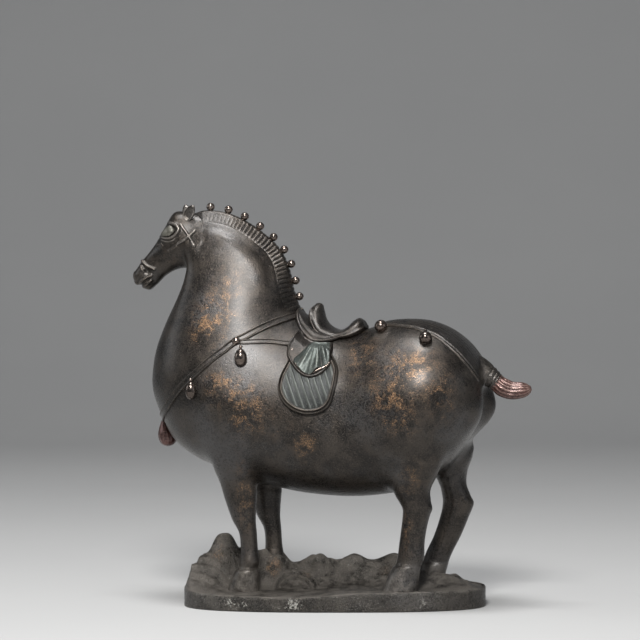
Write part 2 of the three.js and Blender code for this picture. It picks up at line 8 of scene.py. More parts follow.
import bpy
import numpy as np
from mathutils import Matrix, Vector


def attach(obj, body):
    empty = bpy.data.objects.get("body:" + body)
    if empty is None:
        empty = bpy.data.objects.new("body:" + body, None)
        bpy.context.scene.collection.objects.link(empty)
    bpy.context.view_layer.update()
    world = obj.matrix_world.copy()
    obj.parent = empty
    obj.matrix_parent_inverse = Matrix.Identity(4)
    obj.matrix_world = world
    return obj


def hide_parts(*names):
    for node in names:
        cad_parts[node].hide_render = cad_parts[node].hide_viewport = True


bl_info = {
    "name": "Gilt bronze horse",
    "version": (1, 0, 0),
    "blender": (4, 5, 0),
    "location": "3D View > Sidebar > Horse",
    "description": "Builds the visible pieces of a bronze horse on its plinth, and a plain studio",
    "category": "Object",
}

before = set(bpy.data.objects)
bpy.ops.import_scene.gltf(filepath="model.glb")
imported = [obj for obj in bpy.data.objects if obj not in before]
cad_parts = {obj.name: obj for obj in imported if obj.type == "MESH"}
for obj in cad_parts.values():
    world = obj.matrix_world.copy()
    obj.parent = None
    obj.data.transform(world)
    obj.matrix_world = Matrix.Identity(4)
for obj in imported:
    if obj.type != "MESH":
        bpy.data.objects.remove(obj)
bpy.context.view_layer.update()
NODE = "horse_with_plinth"
MM = 0.001

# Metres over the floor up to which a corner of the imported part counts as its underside
FLOOR_BAND = 1e-5

# Body stations from muzzle to tail root: upper outline x, z, lower outline x, z, half width, and the
# share by which it is narrower along the top and wider along the bottom
BODY = [
    [-112.6, 183.4, -111.0, 176.0, 3.4, 0.0],
    [-110.3, 188.0, -105.7, 172.8, 5.2, 0.0],
    [-106.3, 192.6, -101.0, 176.0, 5.0, 0.0],
    [-102.2, 197.9, -96.5, 180.5, 5.8, 0.0],
    [-98.8, 203.2, -91.4, 183.6, 7.6, 0.0],
    [-95.0, 209.8, -86.8, 185.0, 9.0, -0.05],
    [-91.0, 215.8, -82.3, 184.7, 9.6, -0.05],
    [-85.6, 216.6, -81.2, 181.6, 9.8, 0.0],
    [-78.0, 215.2, -82.9, 176.6, 10.4, 0.1],
    [-69.5, 213.3, -86.2, 170.3, 12.0, 0.15],
    [-61.0, 211.4, -90.0, 163.4, 14.2, 0.18],
    [-52.0, 208.0, -94.0, 156.0, 17.0, 0.2],
    [-43.5, 202.0, -97.6, 147.8, 20.0, 0.22],
    [-36.5, 195.0, -100.4, 139.5, 23.2, 0.24],
    [-31.0, 187.5, -102.0, 130.0, 26.4, 0.24],
    [-27.8, 179.5, -102.4, 120.5, 29.4, 0.22],
    [-26.0, 172.0, -100.4, 111.6, 32.0, 0.2],
    [-22.5, 164.5, -96.1, 101.6, 34.2, 0.17],
    [-16.0, 158.5, -89.2, 89.4, 36.0, 0.14],
    [-8.4, 153.5, -76.6, 80.2, 37.2, 0.12],
    [0.6, 150.0, -53.8, 71.1, 37.8, 0.12],
    [9.5, 149.5, -25.4, 63.3, 37.2, 0.12],
    [18.5, 152.2, 0.0, 60.4, 36.2, 0.1],
    [29.7, 156.0, 20.8, 60.8, 37.0, 0.05],
    [40.8, 157.2, 40.9, 64.5, 38.2, 0.02],
    [53.0, 156.4, 57.6, 73.0, 37.6, 0.0],
    [64.1, 152.4, 68.7, 83.6, 34.6, 0.0],
    [73.5, 145.6, 76.4, 97.4, 29.0, 0.0],
    [79.4, 138.4, 79.7, 111.1, 21.0, 0.0],
    [82.6, 132.4, 80.9, 119.4, 10.0, 0.0],
]

# Swellings of the flanks, which are haunch, shoulder, waist, cheek, thigh and forearm: x, z, reach, rise
SWELLINGS = [
    [47, 118, 24, 2.6],
    [-62, 106, 24, 2.4],
    [10, 105, 12, -1.6],
    [-79, 194, 7.5, 1.3],
    [47, 84, 17, 5],
    [-53, 84, 14, 3.5],
]

# Buttocks: distance from the middle plane, height, reach, rise on the near side and on the off side
BUTTOCK = (15, 108, 15, 5.5, 8.5)

# Leg outlines from inside the body to the sole: height, front edge, rear edge, half width and the
# distance of the leg's middle from the middle plane
FORELEG = [
    [104, -76, -38, 12, 20.5],
    [90, -72, -34.5, 12.3, 19.6],
    [78, -65.8, -36.6, 10.7, 17.4],
    [68, -61.4, -39.6, 7.8, 15.8],
    [58, -58.4, -40.8, 6.5, 15.3],
    [47.5, -54.6, -41.4, 5.7, 15],
    [40, -50.6, -40.8, 4.7, 15],
    [31, -49.7, -40.2, 4.6, 15],
    [24.4, -50.4, -39.2, 5.5, 15],
    [20.4, -50.6, -40.4, 5.3, 15],
    [19, -52.8, -39.6, 6.6, 15],
    [13, -55.6, -39.4, 7.5, 15],
    [5, -58.4, -39.2, 8.2, 15],
]
HIND_LEG = [
    [112, 24, 68, 13, 20.5],
    [92, 23.5, 67, 14.4, 19.6],
    [82, 25, 64.5, 13.8, 18.8],
    [74.4, 29.1, 60.8, 11.8, 18.1],
    [66.3, 34.4, 56.6, 9, 17.5],
    [60, 38.6, 56.6, 7.4, 17.2],
    [55.5, 41, 57.4, 6.6, 17],
    [52, 41.2, 56.2, 6.1, 17],
    [46, 40.6, 54.6, 5.4, 17],
    [37, 39.4, 53.2, 5.1, 17],
    [29, 38.4, 53, 5.6, 17],
    [24.6, 37.4, 51.4, 5.6, 17],
    [23.2, 35.8, 51, 6.7, 17],
    [16, 32, 50, 7.6, 17],
    [5, 27.4, 49, 8.4, 17],
]
OFF_HIND_LEG = [
    [112, 28, 70, 13, 20.5],
    [92, 30, 74, 14.2, 19.4],
    [82, 41, 73.6, 13, 18.8],
    [74, 49.6, 71, 11, 18.1],
    [66.5, 55.2, 70.4, 8.8, 17.5],
    [60, 57, 72.8, 7.4, 17.2],
    [55.5, 57.4, 74.6, 6.6, 17],
    [49, 56.2, 72.2, 6, 17],
    [38, 52.6, 67.6, 5.3, 17],
    [29, 48.4, 63, 5.4, 17],
    [23, 46, 60.6, 5.6, 17],
    [20.6, 44.6, 60, 6.7, 17],
    [13, 41, 58, 7.6, 17],
    [5, 38, 57, 8.2, 17],
]

# How much further back the off foreleg stands than the near one
OFF_FORELEG_SETBACK = 7

# Crest of the cut mane from poll to withers, x, z, and the share of it at which each knob stands
CREST = [[-79.3, 216.6], [-70.5, 217.2], [-60.2, 215.6], [-50.4, 211.4], [-41, 205.2],
         [-33.2, 198.4], [-28.1, 191], [-25, 182.6], [-23.2, 174], [-20.6, 166], [-17.4, 161.4]]
KNOB_PLACES = [0.096, 0.204, 0.307, 0.415, 0.518, 0.612, 0.703, 0.802, 0.902]

# Straps in side view, x and z, and the point of the breast where the upper strap crosses the middle
UPPER_STRAP = [[-17.3, 160.5], [-19.2, 159.8], [-25.1, 157.8], [-31.2, 155.5], [-37.6, 152.3],
               [-44.1, 148.6], [-49, 146.2], [-54.4, 141.8], [-60.9, 136.9], [-70.7, 128.2],
               [-78.9, 120.9], [-86, 112.9], [-90.2, 108.1]]
LOWER_STRAP = [[-20.5, 144.6], [-27.9, 145.6], [-34.3, 145.9], [-44.6, 145.6], [-48.6, 146]]
BRIDLE = [
    [[-86, 210.2], [-83.8, 207.2], [-80.5, 202.9], [-78, 199.4], [-76.6, 197]],
    [[-76.6, 206.8], [-78.2, 204.8], [-80.5, 202.7], [-83.6, 200.2], [-88, 196.9]],
]
BREAST_END = (-96.6, 100.4)

# Carved lines of the head, x and z
LID = [[-93.1, 209.9], [-89.5, 209.6], [-87.3, 208.5], [-86.3, 206.5], [-87.4, 204.3], [-90, 202.3],
       [-93.9, 201.7], [-97.6, 202.4]]
UNDER_EYE = [[-97.2, 200.6], [-93.6, 199.9], [-89.9, 200.4], [-87.8, 201.8]]
TEAR_CURL = [[-97.2, 199.1], [-96.1, 197.8], [-96.6, 196.5]]
FACE_CREST = [[-87.6, 197.2], [-89.8, 195.8], [-92, 194.6]]
JOWL = [[-74.6, 209.5], [-72.6, 206.4], [-71.4, 202.4], [-71.7, 199], [-73.4, 195.6]]
CURL = [[-75.4, 202.6], [-73.7, 201.6], [-73.6, 199.6], [-75.2, 198.2]]
NOSTRIL_RIM = [[-108.8, 188.8], [-106.3, 186.7], [-103.9, 185.5], [-101.3, 184.6]]
NOSTRIL_FRONT = [[-108.9, 186.2], [-108.6, 184.6], [-107.3, 183.4]]
UPPER_LIP = [[-112.2, 175.9], [-108.3, 178.2], [-105.4, 180], [-103.2, 180.9]]
MOUTH = [[-116, 172.2], [-111, 174.6], [-107.2, 177.4], [-104, 179.5]]
LOWER_LIP = [[-110, 172.9], [-106, 176], [-103.4, 178.3]]

# Those of them that are pressed into the skin: line, width and height
HEAD_LINES = [(LID, 0.9, 0.8), (UNDER_EYE, 0.6, 0.4), (TEAR_CURL, 0.45, 0.5), (FACE_CREST, 0.8, 0.8),
              (JOWL, 1.7, -0.2), (CURL, 0.7, 0.12), (NOSTRIL_RIM, 0.75, 0.9),
              (NOSTRIL_FRONT, 0.65, 0.8), (UPPER_LIP, 0.75, 0.8), (LOWER_LIP, 0.75, 0.6)]

# Oval places of the head, which are tear bone, nostril, chin, knob on the nose, hollow cheek and full
# lip: x, z, reach along x, reach along z, height
HEAD_OVALS = [(-99.5, 198.2, 1.2, 1.0, 0.5), (-105.2, 183.7, 1.9, 1.2, -1.3),
              (-104.4, 174.2, 2.4, 1.5, 0.5), (-108.2, 188.9, 0.9, 0.9, 0.6),
              (-98, 190, 5, 2.6, -0.5), (-112, 181.5, 3.4, 3.8, 0.9)]

# Middle of the eye, the slant of its long axis in radians, its swell and the socket round it: reach
# along, reach across and height; and the eyeball's outline
EYE = (-93.6, 205.7)
EYE_TILT = 0.64
EYE_OVALS = [(3.3, 1.9, 1.9), (5.4, 3.4, -0.45)]
EYEBALL = [[-96.4, 203], [-95.4, 204.9], [-93.9, 206.6], [-92.2, 207.9], [-90.6, 208.4],
           [-89.2, 207], [-88.8, 205.4], [-89.9, 203.9], [-91.6, 202.9], [-94.2, 202.6]]

# Ears: root x, distance from the middle plane and z; half width; then for each its side, its lean
# along x and its length
EAR_ROOT = (-83.7, 5.4, 211.4)
EAR_HALF_WIDTH = 3.15
EARS = [(-1, 0.55, 10.3), (1, -0.3, 9.6)]

# Small raised flaw above the near foreleg, x and z
FLAW = [[-49.8, 89.3], [-50.4, 86.5], [-50.8, 83.5]]

# Boss: x, z, radius, rise. Pendants: x, z, radius, half length. Tassel: x, z, radius, length, and how
# far its foot swings back as a share of its length. Bells: x, z, radius, whether a nub stands on top
BOSS = (-48.8, 146.0, 2.4, 2.3)
PENDANTS = [(-45.4, 137.4, 3.5, 4.8), (-71.9, 119.2, 3.1, 5.0)]
TASSEL = (-96.9, 100.6, 5.3, 14.8)
TASSEL_LEAN = 0.2
BELLS = [(29, 152.7, 3.55, False), (54.8, 147.3, 3.6, True)]

# How much lower the bells of the off side hang
OFF_BELL_DROP = 6

# Saddle flap outlines in side view, the edges that ribbons follow, the stud and the point from which
# the folds spread, x and z
UPPER_FLAP = [[-12.6, 147.6], [-16.4, 151.6], [-19.2, 147.6], [-20.9, 143.6], [-20.9, 138.6],
              [-17.9, 133.2], [-12.9, 128.1], [-7.3, 126], [-1.2, 127.8], [3.4, 132.6], [3.2, 138],
              [2.2, 144.4], [-4.6, 144.4]]
UPPER_FRONT = [[-8.3, 144.4], [-11.2, 140.6], [-14.2, 137.2], [-16.9, 134.2], [-14.4, 131.2],
               [-11, 128.1], [-8, 127.1], [-5.6, 127.9], [-3.6, 129.9], [0, 130.8], [3.2, 133],
               [2.6, 138.4], [1.2, 143.2], [-3.8, 144]]
CLOTH_EDGE = [[-16.2, 133.6], [-14.4, 131.5], [-12.4, 129.7], [-10.2, 128.3]]
BRASS_EDGE = [[-5.4, 128], [-3, 129.4], [-0.4, 130.5], [2, 131.6], [3.8, 133.6]]
LOWER_FLAP = [[-12, 141.6], [-18.6, 137.4], [-21.2, 132.2], [-23, 128], [-24.1, 122.7], [-23.4, 117.6],
              [-19.8, 112.4], [-13.8, 108.4], [-6.6, 107.1], [0.4, 108.7], [5, 113.4], [7.6, 122.4],
              [8, 131], [5, 136.4], [0, 140]]
STUD = (-18.3, 140.4)
FOLD_CENTRE = (-6.6, 147.2)

# Distance from one slanting line to the next on the lower flap, and the width of each
FLAP_LINE_PITCH = 3.35
FLAP_LINE_WIDTH = 0.5

# Lower edge of the pad on the near flank, x and z, and how far the pad stands off the skin
PAD_EDGE = [[-20.4, 162.0], [-20.1, 160.2], [-18.8, 156.6], [-16.4, 152.6], [-13.3, 149], [-9.8, 146.3],
            [-4.6, 145.4], [1.4, 145.9], [6, 147.8], [12, 151], [17.6, 154]]
PAD_RISE = 1.2

# Seat from pommel tip to cantle tip: middle line x, z, rim x, z and half span
SEAT = [
    [-10.4, 166, -10.9, 165.2, 1.4],
    [-8.8, 166.3, -12.9, 162.8, 5],
    [-6.9, 165.4, -13, 160, 8],
    [-6, 162, -12.2, 157.2, 10],
    [-5.1, 158.2, -10.8, 154.4, 11.4],
    [-3.1, 154.9, -8.6, 151.2, 12.4],
    [0.4, 152.5, -5, 148.8, 13],
    [4.5, 151.8, 1, 147.7, 13.2],
    [8.2, 153.9, 7, 148.3, 12.9],
    [10.8, 156.6, 12.2, 149.6, 11.8],
    [13.8, 158.2, 16.2, 151.6, 9.4],
    [16.2, 157, 17.8, 153.4, 5.6],
]

# Near edge of the spine band, x and z
BAND_EDGE = [[26, 153.8], [34.9, 153.9], [47.4, 152.5], [58.4, 148.9], [65.4, 144.5], [72, 138.8],
             [77, 133], [79.6, 128.6], [80.8, 124.8]]

# Tail from the wrapped root to the tip: x, z, half thickness, half width
TAIL = [
    [58, 137, 8, 9],
    [68, 136, 8, 9.2],
    [76, 132.8, 7.4, 8.8],
    [82, 129.3, 6.7, 7.6],
    [86, 126.5, 6, 6.6],
    [88.9, 124.3, 5.3, 5.7],
    [90.6, 123, 4.8, 4.9],
    [93.4, 120.9, 5.2, 5.4],
    [98.5, 119.2, 4.9, 5],
    [104.3, 119.6, 4.3, 4.4],
    [107.3, 120.3, 2.9, 3],
    [108.8, 120.9, 1.2, 1.4],
]

# Share of the tail's line at which the wrapped root ends and the tuft begins
TAIL_SEAM = 0.53

# Rocks on the plinth: x, distance behind the middle and height of their ridge line
RIDGE = [[-83, 0, 9.5], [-81, 2, 14.8], [-79, 5, 21], [-72, 11, 27.7], [-67.7, 14, 30.2],
         [-61, 15.5, 30.9], [-56, 17, 30.4], [-49.5, 19, 29.6], [-42.3, 20, 27.9],
         [-32.5, 22, 29.4], [-22.8, 23, 20.9], [-9.3, 23, 25.5], [1.2, 23, 22.4], [10.7, 23, 25.4],
         [21.9, 23, 22.4], [34.7, 21, 26.2], [42.8, 10, 21.6], [50.8, 0, 17.8], [65.5, -4, 17.4],
         [72, -6, 14], [77.6, -5, 11.2], [83.2, -2, 9]]

# Steep peak of the left rock: x, y, rise, reach along x and along y
PEAK = (-61.6, 15.5, 7.8, 6.2, 7.5)

# Centre x, z of the round beds of the left rock, and the distance from bed to bed
STRATA = (-78, 0, 4.2)

# Mound in front of the middle rock: x, z, reach along x and along z
MOUND = (-21.5, 6.8, 12.4, 9.4)

# Height of the plinth's rim along x
RIM = [[-83, 9], [-60, 8.2], [-22, 7.7], [18, 10.2], [49, 10.5], [83, 9.8]]

# Worn gilding on the rocks: x, y, reach, strength. Pale deposits on the front wall: x, z, reach, strength
STAINS = [(-65.2, 9, 3.2, 0.8), (-34.5, 14, 4.2, 1.0), (-16, 14, 3, 0.5), (-45, -4, 5, 0.35),
          (30, 12, 6, 0.3)]
DEPOSITS = [(-22.7, 4.6, 3.4, 1.0), (-57.5, 5.2, 4.2, 0.6), (-50, 4, 2.4, 0.4), (14, 4, 2.6, 0.3),
            (47, 5.5, 3, 0.6)]

# Exponent of the plinth's outline: 2 is an ellipse, more is squarer
PLINTH_SQUARENESS = 2.7

# Worn gilding on the near and on the off side: x, z, reach along x, reach along z, strength
GILT_NEAR = [(-62, 160, 11, 12, 0.8), (-67, 152, 7, 7, 0.8), (-48, 117, 13, 8, 1.0), (-42, 106, 9, 8, 0.8),
             (-57, 126, 8, 5, 0.6), (-55, 176, 8, 12, 0.4), (-92, 190, 6, 6, 0.3), (20, 140, 9, 12, 0.6),
             (36, 116, 9, 10, 0.8), (44, 104, 8, 7, 0.9), (50, 137, 11, 7, 0.8), (66, 118, 6, 12, 0.7),
             (45, 124, 14, 12, 0.5), (-8, 90, 6, 8, 0.8), (-25, 100, 10, 8, 0.3), (-46, 62, 5, 22, 0.5),
             (44, 45, 5, 18, 0.4), (48, 74, 8, 8, 0.4)]
GILT_OFF = [(-50, 150, 10, 14, 0.8), (-60, 110, 13, 11, 0.8), (44, 120, 14, 14, 0.8), (0, 95, 10, 9, 0.6),
            (62, 100, 8, 10, 0.6)]

# Dust at the tail's root, x, z, reach, and the radius of the ring of dust round each bell
TAIL_DUST = (84, 129, 8)
BELL_DUST = 3.6

# Dark, light, bloom and rubbed tones of each finish; the dark bronze has its first three from the
# panel, and RUBBED_TONE as its fourth
RUBBED_TONE = (0.13, 0.108, 0.088)
# Eyelids, bridle straps and ears: much lighter than the body's bronze, partly worn metal on their rims and
# partly painted light that stands in for the light falling on the head
WORN_AND_LIT = ((0.04, 0.034, 0.029), (0.11, 0.097, 0.084), (0.14, 0.133, 0.125), (0.34, 0.31, 0.28))
# Eyeballs: grey-green patina, made lighter than the bronze round them as painted light on the eyeball
LIT_EYE_TONES = ((0.05, 0.048, 0.039), (0.12, 0.116, 0.096), (0.15, 0.146, 0.126), (0.26, 0.25, 0.22))
POLISHED = ((0.035, 0.025, 0.02), (0.1, 0.07, 0.056), (0.16, 0.13, 0.11), (0.36, 0.3, 0.26))
GREEN = ((0.03, 0.035, 0.032), (0.09, 0.105, 0.095), (0.13, 0.145, 0.14), (0.26, 0.28, 0.25))
DULL_GREEN = ((0.006, 0.0072, 0.0067), (0.016, 0.0185, 0.0175), (0.027, 0.03, 0.031), (0.1, 0.108, 0.1))
LACQUER = ((0.03, 0.01, 0.009), (0.095, 0.033, 0.027), (0.13, 0.062, 0.052), (0.27, 0.18, 0.15))
ROCK = ((0.018, 0.016, 0.0135), (0.052, 0.046, 0.039), (0.08, 0.075, 0.07), (0.24, 0.215, 0.185))
FLAP_LINE = (0.17, 0.18, 0.165)
DEPOSIT = (0.34, 0.33, 0.3)


# Curves and profiles

def smoothstep(x, low, high):
    """Rises from 0 at low to 1 at high: 3t^2 - 2t^3 of the share t between them."""
    t = np.clip((x - low) / (high - low), 0, 1)
    return t * t * (3 - 2 * t)


def through(rows, t):
    """Uniform Catmull-Rom curve through the rows at shares t; past each end a row is mirrored."""
    rows = np.asarray(rows, float)
    ends = np.vstack([2 * rows[0] - rows[1], rows, 2 * rows[-1] - rows[-2]])
    at = np.clip(np.asarray(t, float), 0, 1) * (len(rows) - 1)
    k = np.minimum(at.astype(int), len(rows) - 2)
    f = (at - k)[..., None]
    a, b, c, d = (ends[k + i] for i in range(4))
    return b + 0.5 * f * ((c - a) + f * ((2 * a - 5 * b + 4 * c - d) + f * (3 * (b - c) + d - a)))


def profile_at(profile, x, column=1):
    """Value of a profile of rows at x, eased by smoothstep between neighbouring rows."""
    rows = np.asarray(profile, float)
    k = np.clip(np.searchsorted(rows[:, 0], x, side="right"), 1, len(rows) - 1)
    before, after = rows[k - 1], rows[k]
    t = smoothstep(x, before[..., 0], after[..., 0])
    return before[..., column] + (after[..., column] - before[..., column]) * t


def either_side(t, step):
    """Shares a step before and after t, kept between 0 and 1."""
    return np.maximum(t - step, 0), np.minimum(t + step, 1)


def run_along(rows, t, step):
    """Difference of the curve's points a step after and a step before each share."""
    earlier, later = either_side(t, step)
    return through(rows, later) - through(rows, earlier)


def unit(vectors):
    """The vectors divided by their lengths."""
    return vectors / np.linalg.norm(vectors, axis=-1, keepdims=True)


def points_at(x, y, z):
    """Points of three coordinates, each spread over the shape that they share."""
    return np.stack(np.broadcast_arrays(x, y, z), -1)


def line_distance(x, z, points):
    """Distance of each x, z from a polyline: the least of the distances from its segments."""
    points = np.asarray(points, float)
    best = np.full(np.shape(x), np.inf)
    for (ax, az), (bx, bz) in zip(points[:-1], points[1:]):
        dx, dz = bx - ax, bz - az
        share = np.clip(((x - ax) * dx + (z - az) * dz) / (dx * dx + dz * dz), 0, 1)
        best = np.minimum(best, np.hypot(x - ax - share * dx, z - az - share * dz))
    return best


def line_share(x, z, points):
    """Share of the polyline's points at which it comes nearest to each x, z."""
    points = np.asarray(points, float)
    best = np.full(np.shape(x), np.inf)
    share = np.zeros(np.shape(x))
    for k, (px, pz) in enumerate(points):
        gap = (x - px) ** 2 + (z - pz) ** 2
        share = np.where(gap < best, k / (len(points) - 1), share)
        best = np.minimum(best, gap)
    return share


def smooth_line(points, count=24):
    """Polyline of count points on the Catmull-Rom curve through the points."""
    return through(points, np.linspace(0, 1, count))


def bell(distance, width):
    """exp of minus the squared ratio of distance and width."""
    return np.exp(-(distance / width) ** 2)


def oval_bell(along, reach_along, across, reach_across):
    """exp of minus the squared ratios of two distances and their reaches."""
    return np.exp(-(along / reach_along) ** 2 - (across / reach_across) ** 2)


def spots(x, y, places):
    """Sum of bells: each place is x, y, reach, strength."""
    return sum(much * bell(np.hypot(x - cx, y - cy), reach) for cx, cy, reach, much in places)


# Skin of the body

def skin(t, angle):
    """Body section at station t: an ellipse from its upper to its lower outline point, with its
    flank pushed out by the swellings; angle runs from the top line round to the near side."""
    top_x, top_z, low_x, low_z, half, sink = np.moveaxis(through(BODY, t), -1, 0)
    level = np.cos(angle)
    out = np.sin(angle)
    x = (top_x + low_x) / 2 + (top_x - low_x) / 2 * level
    z = (top_z + low_z) / 2 + (top_z - low_z) / 2 * level
    swell = sum(rise * np.exp(-((x - cx) ** 2 + (z - cz) ** 2) / reach ** 2)
                for cx, cz, reach, rise in SWELLINGS)
    y = -np.sign(out) * np.abs(out) ** 0.92 * (half * (1 - sink * level) + swell * out * out)
    side, height, reach, rise, off_rise = BUTTOCK
    lobe = ((np.abs(y) - side) ** 2 + (z - height) ** 2) / reach ** 2
    push = np.where(y < 0, rise, rise + (off_rise - rise) * smoothstep(y, 0, side))
    return np.stack([x + push * smoothstep(x, 55, 78) * np.exp(-lobe), y, z], -1)


def skin_normal(t, angle):
    """Unit normal of the skin: the cross product of its two central differences, outwards."""
    step = 0.002
    earlier, later = either_side(t, step)
    along = skin(later, angle) - skin(earlier, angle)
    round_it = skin(t, angle + step) - skin(t, angle - step)
    normal = -np.cross(along, round_it)
    return normal / np.maximum(np.linalg.norm(normal, axis=-1, keepdims=True), 1e-12)


STATIONS = np.linspace(0, 1, 401)


def flank(x, z):
    """Station and angle on the near flank seen at x, z from the side: the first station whose section
    line passes through the point, and the arc cosine of the height on that line."""
    x = np.asarray(x, float)[..., None]
    z = np.asarray(z, float)[..., None]
    top_x, top_z, low_x, low_z = through(BODY, STATIONS).T[:4]
    run_x, run_z = top_x - low_x, top_z - low_z
    beside = run_x * (z - low_z) - run_z * (x - low_x)
    height = ((x - low_x) * run_x + (z - low_z) * run_z) / (run_x ** 2 + run_z ** 2)
    crossing = (beside[..., :-1] * beside[..., 1:] <= 0) & (np.abs(height[..., :-1] - 0.5) < 0.6)
    k = crossing.argmax(-1)[..., None]
    here, after = (np.take_along_axis(beside, k + i, -1) for i in range(2))
    share = here / (here - after)
    low, high = (np.take_along_axis(height, k + i, -1) for i in range(2))
    t = (STATIONS[k] + share / (len(STATIONS) - 1))[..., 0]
    return t, np.arccos(np.clip(2 * (low + (high - low) * share)[..., 0] - 1, -1, 1))


def on_skin(t, angle, rise):
    """Point that stands off the skin by rise along its normal."""
    return skin(t, angle) + skin_normal(t, angle) * np.asarray(rise)[..., None]


# Closed shapes: points, quads and triangles

def full_turn(count):
    """Angles of a full turn in equal steps, without its end."""
    return np.linspace(0, 2 * np.pi, count, endpoint=False)


def outward(points, quads, tris):
    """Turns all faces over when the enclosed volume comes out negative."""
    fans = np.vstack([quads[:, :3], quads[:, [0, 2, 3]], tris])
    a, b, c = points[fans].transpose(1, 0, 2)
    if np.einsum("ij,ij->", a, np.cross(b, c)) < 0:
        quads, tris = quads[:, ::-1], tris[:, ::-1]
    return points, quads, tris


def tube(rings):
    """Skin over a grid of rings, closed round each ring, with a fan to the middle of each end."""
    rows, sides = rings.shape[:2]
    points = np.vstack([rings.reshape(-1, 3), rings[0].mean(0), rings[-1].mean(0)])
    k = np.arange(sides)
    after = (k + 1) % sides
    row = np.arange(rows - 1)[:, None] * sides
    quads = np.stack([row + k, row + after, row + sides + after, row + sides + k], -1).reshape(-1, 4)
    first = rows * sides
    last = first - sides
    tris = np.vstack([
        np.stack([np.full(sides, first), after, k], -1),
        np.stack([np.full(sides, first + 1), last + k, last + after], -1),
    ])
    return outward(points, quads, tris)


def shell(outer, inner):
    """Closed shape between two grids that share their rows, joined along both sides and both ends."""
    return tube(np.concatenate([outer, inner[:, ::-1]], axis=1))


def merged(*shapes):
    """One shape from several, with their point numbers shifted."""
    points, quads, tris = [], [], []
    start = 0
    for shape_points, shape_quads, shape_tris in shapes:
        points.append(shape_points)
        quads.append(shape_quads + start)
        tris.append(shape_tris + start)
        start += len(shape_points)
    return np.vstack(points), np.vstack(quads), np.vstack(tris)


def mirrored(shape):
    """The same shape on the other side of the horse's middle plane."""
    points, quads, tris = shape
    return points * (1, -1, 1), quads[:, ::-1], tris[:, ::-1]


def both_sides(shape):
    """The shape of the near side with its mirror image."""
    return merged(shape, mirrored(shape))


def frame_along(direction):
    """Two unit vectors square to a direction and to each other, and the direction's own."""
    axis = unit(np.asarray(direction, float))
    guide = np.array([0, 1, 0]) if abs(axis[1]) < 0.9 else np.array([1, 0, 0])
    first = unit(np.cross(guide, axis))
    return first, np.cross(axis, first), axis


def turned(profile, where, direction, sides, flutes=0, depth=0.0):
    """Profile of radius and height carried round an axis; flutes press cosine grooves into it."""
    profile = np.asarray(profile, float)
    first, second, axis = frame_along(direction)
    angle = full_turn(sides)
    ripple = 1 - depth * (0.5 - 0.5 * np.cos(flutes * angle))
    radius = (profile[:, :1] * ripple)[..., None]
    return tube(np.asarray(where, float) + radius * np.cos(angle)[:, None] * first
                + radius * np.sin(angle)[:, None] * second + profile[:, 1][:, None, None] * axis)


def dome(radius, rise, sunk, count):
    """Quarter oval profile of radius and height over a foot that is sunk below its base."""
    angle = np.linspace(0, 0.5 * np.pi, count, endpoint=False)
    return np.vstack([[[radius, -sunk]], np.stack([radius * np.cos(angle), rise * np.sin(angle)], -1)])


def ribbon(points, width, section, count, ends=(1, 1), base=0.0):
    """Band laid on the near flank along points of x and z: at each of count places a section of side
    share and lift is set square to the path; the ends taper to nothing where asked, and base lifts
    all of it."""
    t, angle = flank(*np.asarray(points, float).T)
    return ribbon_on(np.stack([t, angle], -1), width, section, count, ends, base)


def ribbon_on(places, width, section, count, ends, base=0.0):
    """The same along places given as station and angle: the path's direction is the difference of the
    skin's points just after and just before, side share times half the width goes square to it, and
    the lift goes along the skin's normal."""
    share = np.linspace(0, 1, count)
    t, angle = through(places, share).T
    earlier, later = either_side(share, 0.004)
    along = unit(skin(*through(places, later).T) - skin(*through(places, earlier).T))
    normal = skin_normal(t, angle)
    across = np.cross(normal, along)
    taper = np.ones(count)
    for tapered, from_end in zip(ends, (share, 1 - share)):
        if tapered:
            taper = taper * np.sqrt(smoothstep(from_end, -0.02, 0.12))
    taper = taper[:, None, None]
    side = section[:, 0] * width / 2
    lift = section[:, 1]
    return tube(skin(t, angle)[:, None] + across[:, None] * side[:, None] * taper
                + normal[:, None] * (base + lift[:, None] * taper))


def bead_section(rise):
    """Half round section: side from -1 to 1, lift a half ellipse, closed below the skin."""
    angle = np.linspace(0, np.pi, 12)
    top = np.stack([-np.cos(angle), rise * np.sin(angle)], -1)
    return np.vstack([top, [[0.8, -0.5], [-0.8, -0.5]]])


def strap_section(rise):
    """Flat band with a rounded line along each edge and a groove between them."""
    s = np.linspace(-1, 1, 25)
    edge = bell(np.abs(s) - 0.72, 0.2)
    lift = rise * (1 - s ** 12) * (0.42 + 0.58 * edge) + 0.02
    return np.vstack([np.stack([s, lift], -1), [[0.98, -0.9], [-0.98, -0.9]]])


# Pieces in Blender

# The finished materials by name, which make_finishes() fills in
FINISHES = {}


def read_all(items, field, width, kind):
    """One field of all items of a mesh as rows of numbers."""
    values = np.empty(len(items) * width, kind)
    items.foreach_get(field, values)
    return values.reshape(-1, width)


def mesh_points(mesh, kind=float):
    """The points of a mesh."""
    return read_all(mesh.vertices, "co", 3, np.float32).astype(kind)


def plinth_centre():
    """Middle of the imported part's underside, read from its corners that lie on the floor."""
    co = mesh_points(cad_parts[NODE].data, np.float32)
    foot = co[co[:, 2] < FLOOR_BAND]
    return (foot.min(0) + foot.max(0)) / 2


CENTRE = plinth_centre()


def sizes():
    """The sizes that stand in the panel."""
    return bpy.context.scene.horse_sizes


def place(points):
    """Local millimetres turned by the horse's angle on the plinth and set into the row frame."""
    turn = sizes().turn
    c, s = math.cos(turn), math.sin(turn)
    x, y, z = np.asarray(points, float).T
    return np.stack([(x * c + y * s) * MM + CENTRE[0], (y * c - x * s) * MM + CENTRE[1], z * MM], -1)


def level(points):
    """Plinth millimetres, whose x runs along the plinth, set into the row frame."""
    return np.asarray(points, float) * MM + (CENTRE[0], CENTRE[1], 0)


